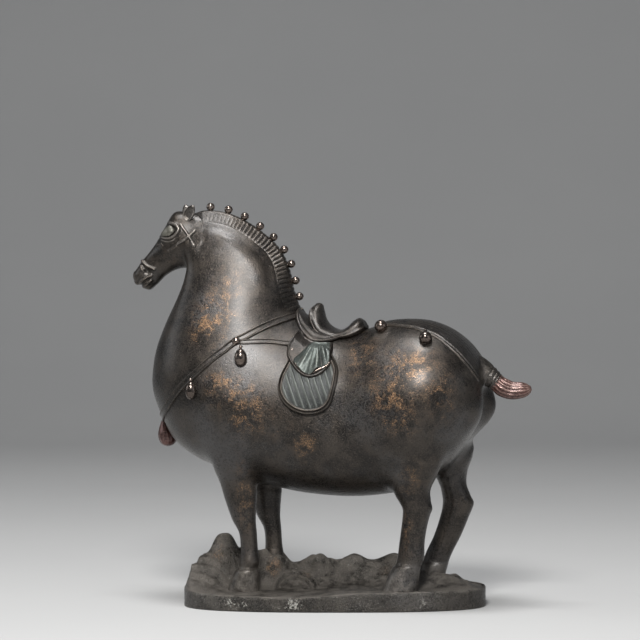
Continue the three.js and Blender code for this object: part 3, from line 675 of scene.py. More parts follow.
def mesh_of(name, shape, setting=place):
    """Blender mesh from a shape's arrays."""
    points, quads, tris = shape
    mesh = bpy.data.meshes.new(name)
    mesh.vertices.add(len(points))
    mesh.vertices.foreach_set("co", setting(points).astype(np.float32).ravel())
    corners = np.concatenate([quads.ravel(), tris.ravel()]).astype(np.int32)
    totals = np.concatenate([np.full(len(quads), 4), np.full(len(tris), 3)])
    mesh.loops.add(len(corners))
    mesh.loops.foreach_set("vertex_index", corners)
    mesh.polygons.add(len(totals))
    mesh.polygons.foreach_set("loop_start", np.concatenate([[0], np.cumsum(totals)[:-1]]).astype(np.int32))
    mesh.update(calc_edges=True)
    mesh.validate()
    mesh.shade_smooth()
    return mesh


def mesh_edges(mesh):
    """The two point numbers of each edge."""
    return read_all(mesh.edges, "vertices", 2, np.int32)


def neighbour_mean(values, edges, count):
    """Mean of each point's neighbours: edge sums over both ends, divided by the number of edges."""
    values = values.reshape(count, -1)
    total = np.zeros_like(values)
    for column in range(values.shape[1]):
        total[:, column] = (np.bincount(edges[:, 0], values[edges[:, 1], column], count)
                            + np.bincount(edges[:, 1], values[edges[:, 0], column], count))
    number = np.bincount(edges.ravel(), minlength=count)[:, None]
    return total / np.maximum(number, 1)


def add_mask(mesh, name, values):
    """Puts one value for each point into the mesh, for a material to read by name."""
    mask = mesh.attributes.new(name, "FLOAT", "POINT")
    mask.data.foreach_set("value", np.asarray(values, np.float32))


def add_relief_masks(mesh, rounds):
    """hollow and ridge: how far each point lies under or over the mean of its neighbours along the
    normal, over the mean edge length squared, spread over a few rounds of averaging."""
    co = mesh_points(mesh) / MM
    edges = mesh_edges(mesh)
    count = len(co)
    normal = read_all(mesh.vertex_normals, "vector", 3, np.float32)
    offset = neighbour_mean(co, edges, count) - co
    length = np.linalg.norm(co[edges[:, 0]] - co[edges[:, 1]], axis=1)
    number = np.bincount(edges.ravel(), minlength=count)
    squared = np.bincount(edges.ravel(), np.repeat(length ** 2, 2), count) / np.maximum(number, 1)
    bend = np.clip((offset * normal).sum(1) / np.maximum(squared, 0.01), -2, 2)
    for _ in range(rounds):
        bend = 0.5 * bend + 0.5 * neighbour_mean(bend, edges, count)[:, 0]
    add_mask(mesh, "hollow", np.clip(bend * 1.2, 0, 1))
    add_mask(mesh, "ridge", np.clip(-bend * 1.5 - 0.03, 0, 1))


def make_piece(mesh, finish, rounds=3):
    """Object for a finished mesh, with its relief masks and its finish, riding on the casting."""
    add_relief_masks(mesh, rounds)
    mesh.materials.clear()
    mesh.materials.append(FINISHES[finish])
    piece = bpy.data.objects.new(mesh.name, mesh)
    bpy.context.scene.collection.objects.link(piece)
    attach(piece, "root")
    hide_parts(NODE)


# Head relief pressed into the skin

def head_relief(x, z):
    """Sum of bells along carved lines and over ovals, in millimetres off the skin."""
    c, s = math.cos(EYE_TILT), math.sin(EYE_TILT)
    along = (x - EYE[0]) * c + (z - EYE[1]) * s
    across = (z - EYE[1]) * c - (x - EYE[0]) * s
    relief = sum(height * oval_bell(along, reach, across, width) for reach, width, height in EYE_OVALS)
    for points, width, height in HEAD_LINES:
        relief += height * bell(line_distance(x, z, smooth_line(points)), width)
    for cx, cz, reach_x, reach_z, height in HEAD_OVALS:
        relief += height * oval_bell(x - cx, reach_x, z - cz, reach_z)
    return relief


def crest_relief(x, z):
    """Hollow and soft roll that follow the mane on the neck and fade at both ends of it."""
    crest = smooth_line(CREST, 80)
    distance = line_distance(x, z, crest)
    share = line_share(x, z, crest)
    strength = smoothstep(share, 0.01, 0.1) * (1 - smoothstep(share, 0.62, 0.92))
    return strength * (0.4 * bell(distance - 14, 3.8) - 0.5 * bell(distance - 9, 2.4))


def body_shape():
    """The skin on a fine grid, denser at the head, with its relief along the normal, a rounded
    muzzle cap of shrinking rings and a cut for the mouth."""
    head, trunk, columns, head_share = 190, 250, 148, 0.3
    mouth_depth, flaw_height, cap_length, cap_rings = 0.8, 0.35, 2.3, 18
    stations = np.concatenate([np.linspace(0, head_share, head, endpoint=False),
                               np.linspace(head_share, 1, trunk)])
    t, angle = np.meshgrid(stations, full_turn(columns), indexing="ij")
    points = skin(t, angle)
    x, z = points[..., 0], points[..., 2]
    from_middle = np.abs(np.sin(angle))
    relief = head_relief(x, z) * smoothstep(from_middle, 0.12, 0.45) * (1 - smoothstep(x, -68, -60))
    relief += crest_relief(x, z) * smoothstep(from_middle, 0.1, 0.3)
    relief += flaw_height * bell(line_distance(x, z, FLAW), 0.5) * (points[..., 1] < 0)
    mouth_line = smooth_line(MOUTH)
    cut = bell(line_distance(x, z, mouth_line), 0.4) * smoothstep(-x, 102.6, 104.4)
    relief -= mouth_depth * cut
    points = points + skin_normal(t, angle) * relief[..., None]
    ring = points[0]
    middle = ring.mean(0)
    forward = np.array([-0.98, 0, -0.2])
    bend = np.linspace(0.04, 0.5 * np.pi, cap_rings, endpoint=False)[:, None, None]
    cap = middle + (ring - middle) * np.sin(bend) + forward * cap_length * np.cos(bend)
    cut = 0.45 * bell(line_distance(cap[..., 0], cap[..., 2], mouth_line), 0.45)
    return tube(np.concatenate([cap - forward * cut[..., None], points]))


def leg_shape(outline, side, setback=0.0):
    """Oval sections along the leg's outline, with a groove between cannon bone and tendon and a fine
    ring round the top of the hoof, which is the outline's last row but two."""
    rows, columns = 110, 44
    z, front, rear, half, distance = through(outline, np.linspace(0, 1, rows)).T[..., None]
    angle = full_turn(columns)
    c, s = np.cos(angle), np.sin(angle)
    shin = smoothstep(z, 24, 34) * (1 - smoothstep(z, 50, 64))
    groove = 1 - 0.07 * shin * bell(c - 0.3, 0.24) + 0.03 * shin * bell(c - 0.62, 0.16)
    crown = outline[-3][0] + 1.6
    ring = 0.22 * bell(z - crown, 0.6)
    x = (front + rear) / 2 + setback + ((rear - front) / 2 + ring) * c
    return tube(points_at(x, side * distance + (half * groove + ring) * s, z))


def united(body, limbs):
    """Body, legs and tail root joined by boolean union; all but the body carry the second material
    number."""
    slots = [bpy.data.materials.new("join_a"), bpy.data.materials.new("join_b")]
    things = []
    for number, shape in enumerate([body, *limbs]):
        mesh = mesh_of(f"join_{number}", shape, lambda points: points)
        for material in slots:
            mesh.materials.append(material)
        on_limb = np.full(len(mesh.polygons), number > 0, np.int32)
        mesh.polygons.foreach_set("material_index", on_limb)
        things.append(bpy.data.objects.new(mesh.name, mesh))
        bpy.context.scene.collection.objects.link(things[-1])
    base, *tools = things
    for tool in tools:
        cut = base.modifiers.new(tool.name, "BOOLEAN")
        cut.operation = "UNION"
        cut.solver = "MANIFOLD"
        cut.object = tool
    bpy.context.view_layer.update()
    result = bpy.data.meshes.new_from_object(base.evaluated_get(bpy.context.evaluated_depsgraph_get()))
    for thing in things:
        bpy.data.objects.remove(thing)
    for material in slots:
        bpy.data.materials.remove(material)
    return result


def soften_seams(mesh):
    """Fillets the joints: points near an edge between body and limb move towards the mean of their
    neighbours, by a share that fades with distance from the seam."""
    near, reach, strength, rounds = 1.5, 7.0, 0.6, 46
    part_size = 8000
    co = mesh_points(mesh)
    edges = mesh_edges(mesh)
    numbers = read_all(mesh.polygons, "material_index", 1, np.int32)[:, 0]
    totals = read_all(mesh.polygons, "loop_total", 1, np.int32)[:, 0]
    corners = read_all(mesh.loops, "vertex_index", 1, np.int32)[:, 0]
    count = len(co)
    on_limb = np.bincount(corners, np.repeat(numbers, totals), count)
    all_faces = np.bincount(corners, minlength=count)
    seam = co[(on_limb > 0) & (on_limb < all_faces)][::3]
    if not len(seam):
        raise RuntimeError("the legs don't meet the body")
    distance = np.concatenate([
        np.sqrt(((co[start:start + part_size, None] - seam) ** 2).sum(-1).min(1))
        for start in range(0, count, part_size)])
    weight = (strength * (1 - smoothstep(distance, near, reach)))[:, None]
    for _ in range(rounds):
        co += weight * (neighbour_mean(co, edges, count) - co)
    return co


def gilt_mask(points):
    """Where worn gilding shows: a sum of ovals round its places, each on its own side."""
    x, y, z = points.T
    total = np.zeros(len(points))
    for places, sign in ((GILT_NEAR, -1), (GILT_OFF, 1)):
        beside = smoothstep(sign * y, 2, 10)
        for cx, cz, reach_x, reach_z, much in places:
            total += much * beside * oval_bell(x - cx, reach_x, z - cz, reach_z)
    return np.clip(total, 0, 1)


def settled_mask(points):
    """Where dust has settled: low on the legs, at the tail's root and in a ring round each bell."""
    x, _, z = points.T
    tail_x, tail_z, reach = TAIL_DUST
    dust = 1 - smoothstep(z, 15, 30) + 0.5 * bell(np.hypot(x - tail_x, z - tail_z), reach)
    for bell_x, bell_z, _, _ in BELLS:
        dust += 0.4 * bell(np.hypot(x - bell_x, z - bell_z + 1) - BELL_DUST, 1.5)
    return np.clip(dust, 0, 1)


# Materials

def node(tree, kind, **settings):
    """New node with its settings made."""
    made = tree.nodes.new(kind)
    for key, value in settings.items():
        setattr(made, key, value)
    return made


def feed(tree, value, socket):
    """Links a socket to another one, or sets it to a plain value."""
    if isinstance(value, bpy.types.NodeSocket):
        tree.links.new(value, socket)
    else:
        socket.default_value = value


def new_group(name, inputs, outputs):
    """Empty node group with named sockets: (name, type, default) in, (name, type) out."""
    group = bpy.data.node_groups.new(name, "ShaderNodeTree")
    for title, kind, default in inputs:
        socket = group.interface.new_socket(title, in_out="INPUT", socket_type=kind)
        if default is not None:
            socket.default_value = default
    for title, kind in outputs:
        group.interface.new_socket(title, in_out="OUTPUT", socket_type=kind)
    return group, group.nodes.new("NodeGroupInput"), group.nodes.new("NodeGroupOutput")


def object_place(tree):
    """Coordinates of the piece itself."""
    return node(tree, "ShaderNodeTexCoord").outputs["Object"]


def noise(tree, coordinates, scale, detail, roughness=0.55):
    """Fractal noise of a number of cells a metre."""
    made = node(tree, "ShaderNodeTexNoise")
    for title, value in (("Scale", scale), ("Detail", detail), ("Roughness", roughness),
                         ("Vector", coordinates)):
        feed(tree, value, made.inputs[title])
    return made.outputs["Fac"]


def ramp(tree, value, low, high, out_low=0.0, out_high=1.0):
    """Map Range with a smooth step between low and high."""
    made = node(tree, "ShaderNodeMapRange", interpolation_type="SMOOTHSTEP")
    for title, given in (("Value", value), ("From Min", low), ("From Max", high),
                         ("To Min", out_low), ("To Max", out_high)):
        feed(tree, given, made.inputs[title])
    return made.outputs["Result"]


def blend(tree, factor, first, second):
    """Colour mix; each side is a colour or a socket."""
    made = node(tree, "ShaderNodeMix", data_type="RGBA")
    first_colour, second_colour = 6, 7
    feed(tree, factor, made.inputs["Factor"])
    feed(tree, first, made.inputs[first_colour])
    feed(tree, second, made.inputs[second_colour])
    return made.outputs[2]


def math_node(tree, operation, first, second):
    """One sum, product or the like of two values or sockets."""
    made = node(tree, "ShaderNodeMath", operation=operation)
    for value, socket in zip((first, second), made.inputs):
        feed(tree, value, socket)
    return made.outputs[0]


def times(tree, first, second):
    """Product of two values or sockets."""
    return math_node(tree, "MULTIPLY", first, second)


def plus(tree, first, second):
    """Sum of two values or sockets."""
    return math_node(tree, "ADD", first, second)


def patina_group():
    """Mottled patina: two browns and a grey bloom mixed by noises of falling size, a fine speckle,
    dark hollows and rubbed ridges; puts out the colour, a roughness and a height."""
    group, given, result = new_group(
        "patina",
        [("Dark", "NodeSocketColor", (0.03, 0.025, 0.02, 1)),
         ("Light", "NodeSocketColor", (0.08, 0.07, 0.06, 1)),
         ("Bloom", "NodeSocketColor", (0.1, 0.11, 0.12, 1)),
         ("Rubbed", "NodeSocketColor", (0.3, 0.22, 0.13, 1)),
         ("Hollow", "NodeSocketFloat", 0.0), ("Ridge", "NodeSocketFloat", 0.0)],
        [("Color", "NodeSocketColor"), ("Roughness", "NodeSocketFloat"), ("Height", "NodeSocketFloat")],
    )
    dark, light, bloom, rubbed, hollow, ridge = list(given.outputs)[:6]
    where = object_place(group)
    broad = noise(group, where, 30, 5)
    patches = noise(group, where, 95, 7, 0.65)
    fine = noise(group, where, 700, 5, 0.65)
    specks = noise(group, where, 1350, 4, 0.7)
    base = blend(group, ramp(group, patches, 0.36, 0.66), dark, light)
    cloud = times(group, ramp(group, broad, 0.46, 0.7), ramp(group, fine, 0.3, 0.62, 0.4, 0.85))
    bloomed = blend(group, cloud, base, bloom)
    pepper = blend(group, ramp(group, fine, 0.5, 0.34, 0.0, 0.32), bloomed, dark)
    speckled = blend(group, ramp(group, specks, 0.53, 0.68, 0.0, 0.5), pepper, rubbed)
    rubbing = times(group, ridge, ramp(group, fine, 0.36, 0.6, 0.3, 1.0))
    worn = blend(group, rubbing, speckled, rubbed)
    group.links.new(blend(group, times(group, hollow, 0.6), worn, dark), result.inputs["Color"])
    grainy = plus(group, ramp(group, fine, 0.34, 0.66, -0.08, 0.08),
                  ramp(group, specks, 0.36, 0.64, -0.1, 0.1))
    rough = plus(group, grainy, ramp(group, patches, 0.32, 0.68, 0.28, 0.4))
    group.links.new(rough, result.inputs["Roughness"])
    height = plus(group, times(group, fine, 0.5), times(group, specks, 0.5))
    group.links.new(height, result.inputs["Height"])
    return group


def fleck_group():
    """Worn flecks in stained ground: a fine noise cut off at a level that falls as the mask rises,
    over a soft stain; puts out the flecks and the stain."""
    group, given, result = new_group(
        "flecks",
        [("Mask", "NodeSocketFloat", 0.0)],
        [("Amount", "NodeSocketFloat"), ("Stain", "NodeSocketFloat")],
    )
    where = object_place(group)
    fine = plus(group, times(group, noise(group, where, 2900, 3, 0.6), 0.6),
                times(group, noise(group, where, 1400, 3, 0.6), 0.4))
    cloud = noise(group, where, 190, 6, 0.68)
    level = times(group, given.outputs["Mask"], ramp(group, cloud, 0.4, 0.62))
    lifted = plus(group, fine, times(group, level, 0.1))
    amount = times(group, ramp(group, lifted, 0.555, 0.64), ramp(group, level, 0.02, 0.4))
    group.links.new(amount, result.inputs["Amount"])
    group.links.new(times(group, level, 0.5), result.inputs["Stain"])
    return group


def dust_group():
    """Dust that lies on faces turned up, in hollows and where it has settled, broken by noise."""
    group, given, result = new_group(
        "dust",
        [("Hollow", "NodeSocketFloat", 0.0), ("Foot", "NodeSocketFloat", 0.0),
         ("Lying", "NodeSocketFloat", 1.0)],
        [("Amount", "NodeSocketFloat")],
    )
    where = object_place(group)
    up = node(group, "ShaderNodeSeparateXYZ")
    group.links.new(node(group, "ShaderNodeNewGeometry").outputs["Normal"], up.inputs[0])
    lying = times(group, ramp(group, up.outputs["Z"], 0.25, 0.9), given.outputs["Lying"])
    grains = ramp(group, noise(group, where, 1300, 4, 0.7), 0.4, 0.62, 0.45, 1.0)
    patches = ramp(group, noise(group, where, 150, 6, 0.62), 0.34, 0.6, 0.1, 1.0)
    covered = math_node(group, "MAXIMUM", lying, given.outputs["Foot"])
    pooled = times(group, given.outputs["Hollow"], times(group, given.outputs["Lying"], 0.6))
    broken = times(group, covered, times(group, patches, grains))
    group.links.new(math_node(group, "MAXIMUM", broken, pooled), result.inputs["Amount"])
    return group


def attribute(tree, name):
    """The mesh's mask of that name."""
    return node(tree, "ShaderNodeAttribute", attribute_name=name).outputs["Fac"]


def use_group(tree, group, **values):
    """A node group placed in a material, with its inputs linked or set."""
    made = node(tree, "ShaderNodeGroup", node_tree=group)
    for title, value in values.items():
        feed(tree, value, made.inputs[title])
    return made.outputs


def opaque(colour):
    """The colour with full alpha."""
    return tuple(colour) + (1,)


def bronze_finish(name, tones, groups, bump, metallic=0.85, coat=0.0, gloss=0.0, gilt=False,
                  dust=0.0, lying=1.0, cloth=None, line=None, deposit=None):
    """Material of one finish: patina, a second patina where a cloth mask says so, pale lines, gilding
    flecks, dust and pale deposits where asked; gloss is taken off the roughness, and bump is the
    height of its grain in millimetres."""
    material = bpy.data.materials.new(name)
    material.use_nodes = True
    tree = material.node_tree
    shader = tree.nodes["Principled BSDF"].inputs
    hollow, ridge = attribute(tree, "hollow"), attribute(tree, "ridge")

    def patina(shades):
        dark, light, bloom, rubbed = (opaque(shade) for shade in shades)
        return use_group(tree, groups["patina"], Dark=dark, Light=light, Bloom=bloom, Rubbed=rubbed,
                         Hollow=hollow, Ridge=ridge)

    base = patina(tones)
    colour = base["Color"]
    rough = base["Roughness"]
    metal = metallic
    panel = bpy.context.scene.horse_colours
    if cloth:
        colour = blend(tree, attribute(tree, "cloth"), colour, patina(cloth)["Color"])
    if line:
        colour = blend(tree, times(tree, attribute(tree, "line"), 0.75), colour, opaque(line))
    if gilt:
        flecks = use_group(tree, groups["flecks"], Mask=attribute(tree, "gilt"))
        stain = opaque(0.3 * channel for channel in panel.gilding)
        colour = blend(tree, flecks["Stain"], colour, stain)
        colour = blend(tree, flecks["Amount"], colour, opaque(panel.gilding))
    if dust:
        settled = use_group(tree, groups["dust"], Hollow=hollow, Foot=attribute(tree, "foot"),
                            Lying=lying)
        amount = times(tree, settled["Amount"], dust)
        colour = blend(tree, amount, colour, opaque(panel.dust))
        rough = plus(tree, rough, times(tree, amount, 0.3))
        metal = math_node(tree, "SUBTRACT", metallic, times(tree, amount, metallic * 0.8))
    if deposit:
        share = plus(tree, noise(tree, object_place(tree), 700, 6, 0.7),
                     times(tree, attribute(tree, "deposit"), 0.2))
        colour = blend(tree, ramp(tree, share, 0.62, 0.7), colour, opaque(deposit))
    if gloss:
        rough = math_node(tree, "SUBTRACT", rough, gloss)
    relief = node(tree, "ShaderNodeBump")
    for title, value in (("Strength", 1.0), ("Distance", bump * MM), ("Height", base["Height"])):
        feed(tree, value, relief.inputs[title])
    for title, value in (("Base Color", colour), ("Roughness", rough), ("Metallic", metal),
                         ("Coat Weight", coat), ("Coat Roughness", 0.32),
                         ("Normal", relief.outputs["Normal"])):
        feed(tree, value, shader[title])
    return material


def make_finishes():
    """One material for each finish, kept under its name."""
    groups = {"patina": patina_group(), "flecks": fleck_group(), "dust": dust_group()}
    panel = bpy.context.scene.horse_colours
    bronze = (panel.dark, panel.light, panel.bloom, RUBBED_TONE)
    for name, tones, settings in (
        # lighter bronze of the head's small parts: wear on their rims and painted light
        ("worn_and_lit_bronze", WORN_AND_LIT, dict(coat=0.4, bump=0.2)),
        # eyeballs: grey-green patina, partly painted light
        ("lit_eye_bronze", LIT_EYE_TONES, dict(metallic=0.5, bump=0.1, gloss=-0.1)),
        ("dark_bronze", bronze, dict(coat=0.4, bump=0.45, gilt=True, dust=0.75, lying=0.0)),
        ("rubbed_bronze", POLISHED, dict(metallic=0.95, coat=0.3, bump=0.03, gloss=0.13)),
        ("verdigris_bronze", bronze, dict(metallic=0.5, bump=0.15, cloth=GREEN, gloss=-0.06)),
        ("flap_bronze", bronze, dict(metallic=0.5, bump=0.2, cloth=DULL_GREEN, line=FLAP_LINE, gloss=-0.12)),
        ("lacquered_bronze", LACQUER, dict(metallic=0.5, coat=0.3, bump=0.04)),
        ("dusty_bronze", ROCK, dict(metallic=0.5, bump=1.3, dust=0.8, gilt=True, deposit=DEPOSIT)),
    ):
        FINISHES[name] = bronze_finish(name, tones, groups, **settings)


# Sizes and colours a user would change

class HorseSizes(bpy.types.PropertyGroup):
    """Stance, strap, mane and plinth"""
    turn: bpy.props.FloatProperty(
        name="Turn", description="How far the horse stands turned on its plinth",
        default=math.radians(12), subtype="ANGLE", unit="ROTATION")
    strap_width: bpy.props.FloatProperty(
        name="Strap width", description="Width of the breast strap", default=0.0044,
        subtype="DISTANCE", unit="LENGTH")
    mane_pitch: bpy.props.FloatProperty(
        name="Mane pitch", description="Distance from rib to rib of the cut mane", default=0.00253,
        subtype="DISTANCE", unit="LENGTH", precision=5)
    plinth_length: bpy.props.FloatProperty(
        name="Plinth length", description="Length of the plinth", default=0.166,
        subtype="DISTANCE", unit="LENGTH")
    plinth_depth: bpy.props.FloatProperty(
        name="Plinth depth", description="Depth of the plinth", default=0.077,
        subtype="DISTANCE", unit="LENGTH")


class HorseColours(bpy.types.PropertyGroup):
    """Patina, gilding and dust"""
    dark: bpy.props.FloatVectorProperty(
        name="Dark patina", description="Darkest colour of the bronze", default=(0.013, 0.0105, 0.0085),
        subtype="COLOR", min=0, max=1)
    light: bpy.props.FloatVectorProperty(
        name="Light patina", description="Brown of the bronze", default=(0.044, 0.036, 0.029),
        subtype="COLOR", min=0, max=1)
    bloom: bpy.props.FloatVectorProperty(
        name="Bloom", description="Grey-blue bloom on the bronze", default=(0.072, 0.07, 0.07),
        subtype="COLOR", min=0, max=1)
    gilding: bpy.props.FloatVectorProperty(
        name="Gilding", description="Worn gilding", default=(0.27, 0.16, 0.085),
        subtype="COLOR", min=0, max=1)
    dust: bpy.props.FloatVectorProperty(
        name="Dust", description="Dust on the plinth", default=(0.17, 0.152, 0.132),
        subtype="COLOR", min=0, max=1)


class HORSE_OT_body(bpy.types.Operator):
    """Build the body with head and legs"""
    bl_idname = "horse.body"
    bl_label = "Body, head and legs"

    def execute(self, context):
        overlap = 0.02
        mesh = united(body_shape(), [
            leg_shape(FORELEG, -1), leg_shape(FORELEG, 1, OFF_FORELEG_SETBACK),
            leg_shape(HIND_LEG, -1), leg_shape(OFF_HIND_LEG, 1), tail_shape(0, TAIL_SEAM + overlap, False)])
        mesh.name = "horse_body"
        co = soften_seams(mesh)
        mesh.vertices.foreach_set("co", place(co).astype(np.float32).ravel())
        mesh.polygons.foreach_set("material_index", np.zeros(len(mesh.polygons), np.int32))
        mesh.update()
        mesh.shade_smooth()
        add_mask(mesh, "gilt", gilt_mask(co))
        add_mask(mesh, "foot", settled_mask(co))
        make_piece(mesh, "dark_bronze")
        return {"FINISHED"}


class HORSE_OT_face(bpy.types.Operator):
    """Build the eyes, ears and bridle"""
    bl_idname = "horse.face"
    bl_label = "Eyes, ears and bridle"

    def execute(self, context):
        lids = both_sides(merged(
            ribbon(LID, 1.9, bead_section(1.5), 70),
            ribbon(UNDER_EYE, 0.9, bead_section(0.75), 40)))
        # eyelids, bridle straps and ears take the lighter bronze, which is partly wear and partly painted
        # light on the head
        make_piece(mesh_of("eyelids", lids), "worn_and_lit_bronze")
        coarse_rings, coarse_spokes = np.linspace(0.05, 1, 16), 72
        # the eyeballs' lighter grey-green is partly painted light
        eyeball = flap_shape(EYEBALL, eyeball_lift, coarse_rings, coarse_spokes)
        make_piece(mesh_of("eyeballs", both_sides(eyeball)), "lit_eye_bronze")
        bridle = both_sides(merged(*(
            ribbon(line, 1.9, bead_section(1.05 + 0.15 * k), 44) for k, line in enumerate(BRIDLE))))
        make_piece(mesh_of("bridle_straps", bridle), "worn_and_lit_bronze")
        ears = merged(*(ear_shape(*ear) for ear in EARS))
        make_piece(mesh_of("ears", ears), "worn_and_lit_bronze")
        return {"FINISHED"}


def eyeball_lift(x, z, r):
    """Lens: the root of 1.02 minus the squared share from its middle to its edge."""
    return 1.0 + 1.3 * np.sqrt(1.02 - r ** 2)


def ear_shape(side, lean, length):
    """Leaf: its half width swells and closes along the ear; a hollow front lies inside a thick rim,
    the back is fuller, and both meet in a rounded edge."""
    root = np.array(EAR_ROOT) * (1, side, 1)
    axis = unit(np.array([lean, side * 0.25, 0.85]))
    facing = np.array([-0.25, side, 0.0])
    facing = unit(facing - axis * facing.dot(axis))
    across = np.cross(axis, facing)
    u = np.linspace(0, 1, 48)[:, None]
    a = full_turn(56)
    c, s = np.cos(a), np.sin(a)
    width = EAR_HALF_WIDTH * np.sin(np.pi * (0.1 + 0.87 * u)) ** 0.7
    front, back = np.maximum(s, 0), np.maximum(-s, 0)
    cup = smoothstep(u, 0.08, 0.26) * (1 - smoothstep(u, 0.8, 0.97))
    inside = smoothstep(front, 0.5, 0.85)
    depth = 1.3 * front ** 0.45 - 1.5 * cup * inside - 1.9 * back ** 0.8
    depth = depth * (0.3 + 0.7 * width / EAR_HALF_WIDTH)
    return tube(root + axis * (length * u)[..., None] + across * (width * c)[..., None]
                + facing * depth[..., None])


class HORSE_OT_mane(bpy.types.Operator):
    """Build the cut mane and its knobs"""
    bl_idname = "horse.mane"
    bl_label = "Mane and knobs"

    def execute(self, context):
        make_piece(mesh_of("mane", mane_shape()), "dark_bronze")
        make_piece(mesh_of("mane_knobs", knobs_shape()), "rubbed_bronze")
        return {"FINISHED"}


def crest_at(share):
    """Points and inward normals of the crest at shares of its length, and that length: the normal is
    square to the line from a little before each point to a little after it."""
    fine = through(CREST, np.linspace(0, 1, 2001))
    length = np.concatenate([[0], np.cumsum(np.hypot(*np.diff(fine, axis=0).T))])

    def at(distance):
        return np.stack([np.interp(distance, length, fine[:, i]) for i in range(2)], -1)

    want = np.asarray(share) * length[-1]
    step = 0.4
    tangent = unit(at(want + step) - at(want - step))
    return at(want), np.stack([tangent[..., 1], -tangent[..., 0]], -1), length[-1]


def mane_shape():
    """Comb on the crest: its side runs from the ridge down to the neck's skin, with ribs square to
    the crest, a power of the absolute cosine of the distance along it; it narrows and sinks into the
    neck at both ends."""
    rows, ridge_out, foot_down, sunk_down = 760, 1.1, 6.4, 7.2
    share = np.linspace(0, 1, rows)
    point, inward, length = crest_at(share)
    foot = point + inward * foot_down
    foot_out = np.abs(skin(*flank(foot[:, 0], foot[:, 1]))[:, 1])
    down = np.concatenate([np.linspace(0, 1, 8) ** 2 * 0.9, np.linspace(1.1, foot_down, 26), [sunk_down]])
    rise = np.clip(down / foot_down, 0, 1)
    shoulder = np.sqrt(np.clip(down / 0.9, 0, 1))
    out = ridge_out + shoulder + (foot_out[:, None] - 2.3) * rise ** 0.8
    out = out - 1.6 * (down > foot_down)
    out[:, 0] = 0
    strength = 0.04 + 0.74 * smoothstep(share, 0.2, 0.4)
    strength = strength * (1 - smoothstep(share, 0.93, 0.99)) * smoothstep(share, 0.02, 0.08)
    pitch = sizes().mane_pitch / MM
    rib = np.abs(np.cos(np.pi * share * length / pitch)) ** 0.75
    ribs = (strength * (rib - 0.75))[:, None]
    out = out + ribs * smoothstep(down, 0.4, 1.3) * (1 - smoothstep(down, 4.9, 6.2))
    lift = 0.45 * ribs * (1 - smoothstep(down, 0.2, 1.6))
    end = (1 - smoothstep(share, 0.95, 1))[:, None]
    begin = smoothstep(share, -0.03, 0.06)[:, None]
    out = out * (0.4 + 0.6 * begin) * (0.55 + 0.45 * end)
    sink = 1.4 * (1 - begin) + 1.2 * (1 - end)
    x, z = (point[:, i:i + 1] + inward[:, i:i + 1] * (down - lift + sink) for i in range(2))
    near = points_at(x, -out, z)
    off = points_at(x, out, z)[:, :0:-1]
    return tube(np.concatenate([near, off], axis=1))


def knobs_shape():
    """Round knobs on short necks, one at each place along the crest."""
    radius, middle = 2.3, 1.9
    point, inward, _ = crest_at(KNOB_PLACES)
    angle = np.linspace(-0.3 * np.pi, 0.5 * np.pi, 14, endpoint=False)
    ball = np.stack([radius * np.cos(angle), middle + radius * np.sin(angle)], -1)
    profile = np.vstack([[[1.9, -1.4], [1.7, -0.6], [1.5, -0.1]], ball])
    return merged(*(turned(profile, (p[0], 0, p[1]), (-n[0], 0, -n[1]), 24)
                    for p, n in zip(point, inward)))


class HORSE_OT_saddle(bpy.types.Operator):
    """Build the seat, its pad and the flaps"""
    bl_idname = "horse.saddle"
    bl_label = "Saddle"

    def execute(self, context):
        make_piece(mesh_of("saddle_seat", seat_shape()), "dark_bronze")
        edge = ribbon(PAD_EDGE, 1.7, bead_section(1.1), 120, (0, 1), 0.9)
        pad = merged(pad_shape(), both_sides(edge))
        make_piece(mesh_of("saddle_pad", pad), "dark_bronze")
        flap = flap_shape(LOWER_FLAP, lower_flap_lift)
        mesh = mesh_of("lower_flaps", both_sides(flap))
        inside = lower_flap_inside(flap_radius(len(flap[0])))
        lines = bell(flap_line_gap(flap[0][:, 0], flap[0][:, 2]), FLAP_LINE_WIDTH)
        add_mask(mesh, "cloth", np.tile(inside, 2))
        add_mask(mesh, "line", np.tile(inside * lines, 2))
        make_piece(mesh, "flap_bronze", 1)
        upper = both_sides(flap_shape(UPPER_FLAP, upper_flap_lift))
        make_piece(mesh_of("upper_flaps", upper), "dark_bronze")
        front = flap_shape(UPPER_FRONT, front_flap_lift)
        mesh = mesh_of("folded_cloths", both_sides(front))
        r = flap_radius(len(front[0]))
        add_mask(mesh, "cloth", np.tile(1 - smoothstep(r, 0.95, 0.98), 2))
        make_piece(mesh, "verdigris_bronze")
        edges = both_sides(merged(
            ribbon(BRASS_EDGE, 1.25, bead_section(0.9), 40, (1, 1), 3.3),
            ribbon(CLOTH_EDGE, 0.8, bead_section(0.6), 40, (1, 1), 3.2)))
        make_piece(mesh_of("cloth_edges", edges), "rubbed_bronze")
        at = flank(*STUD)
        stud = turned(dome(0.9, 0.8, 1.0, 9), on_skin(*at, 2.3), skin_normal(*at), 20)
        make_piece(mesh_of("flap_studs", both_sides(stud)), "rubbed_bronze")
        return {"FINISHED"}


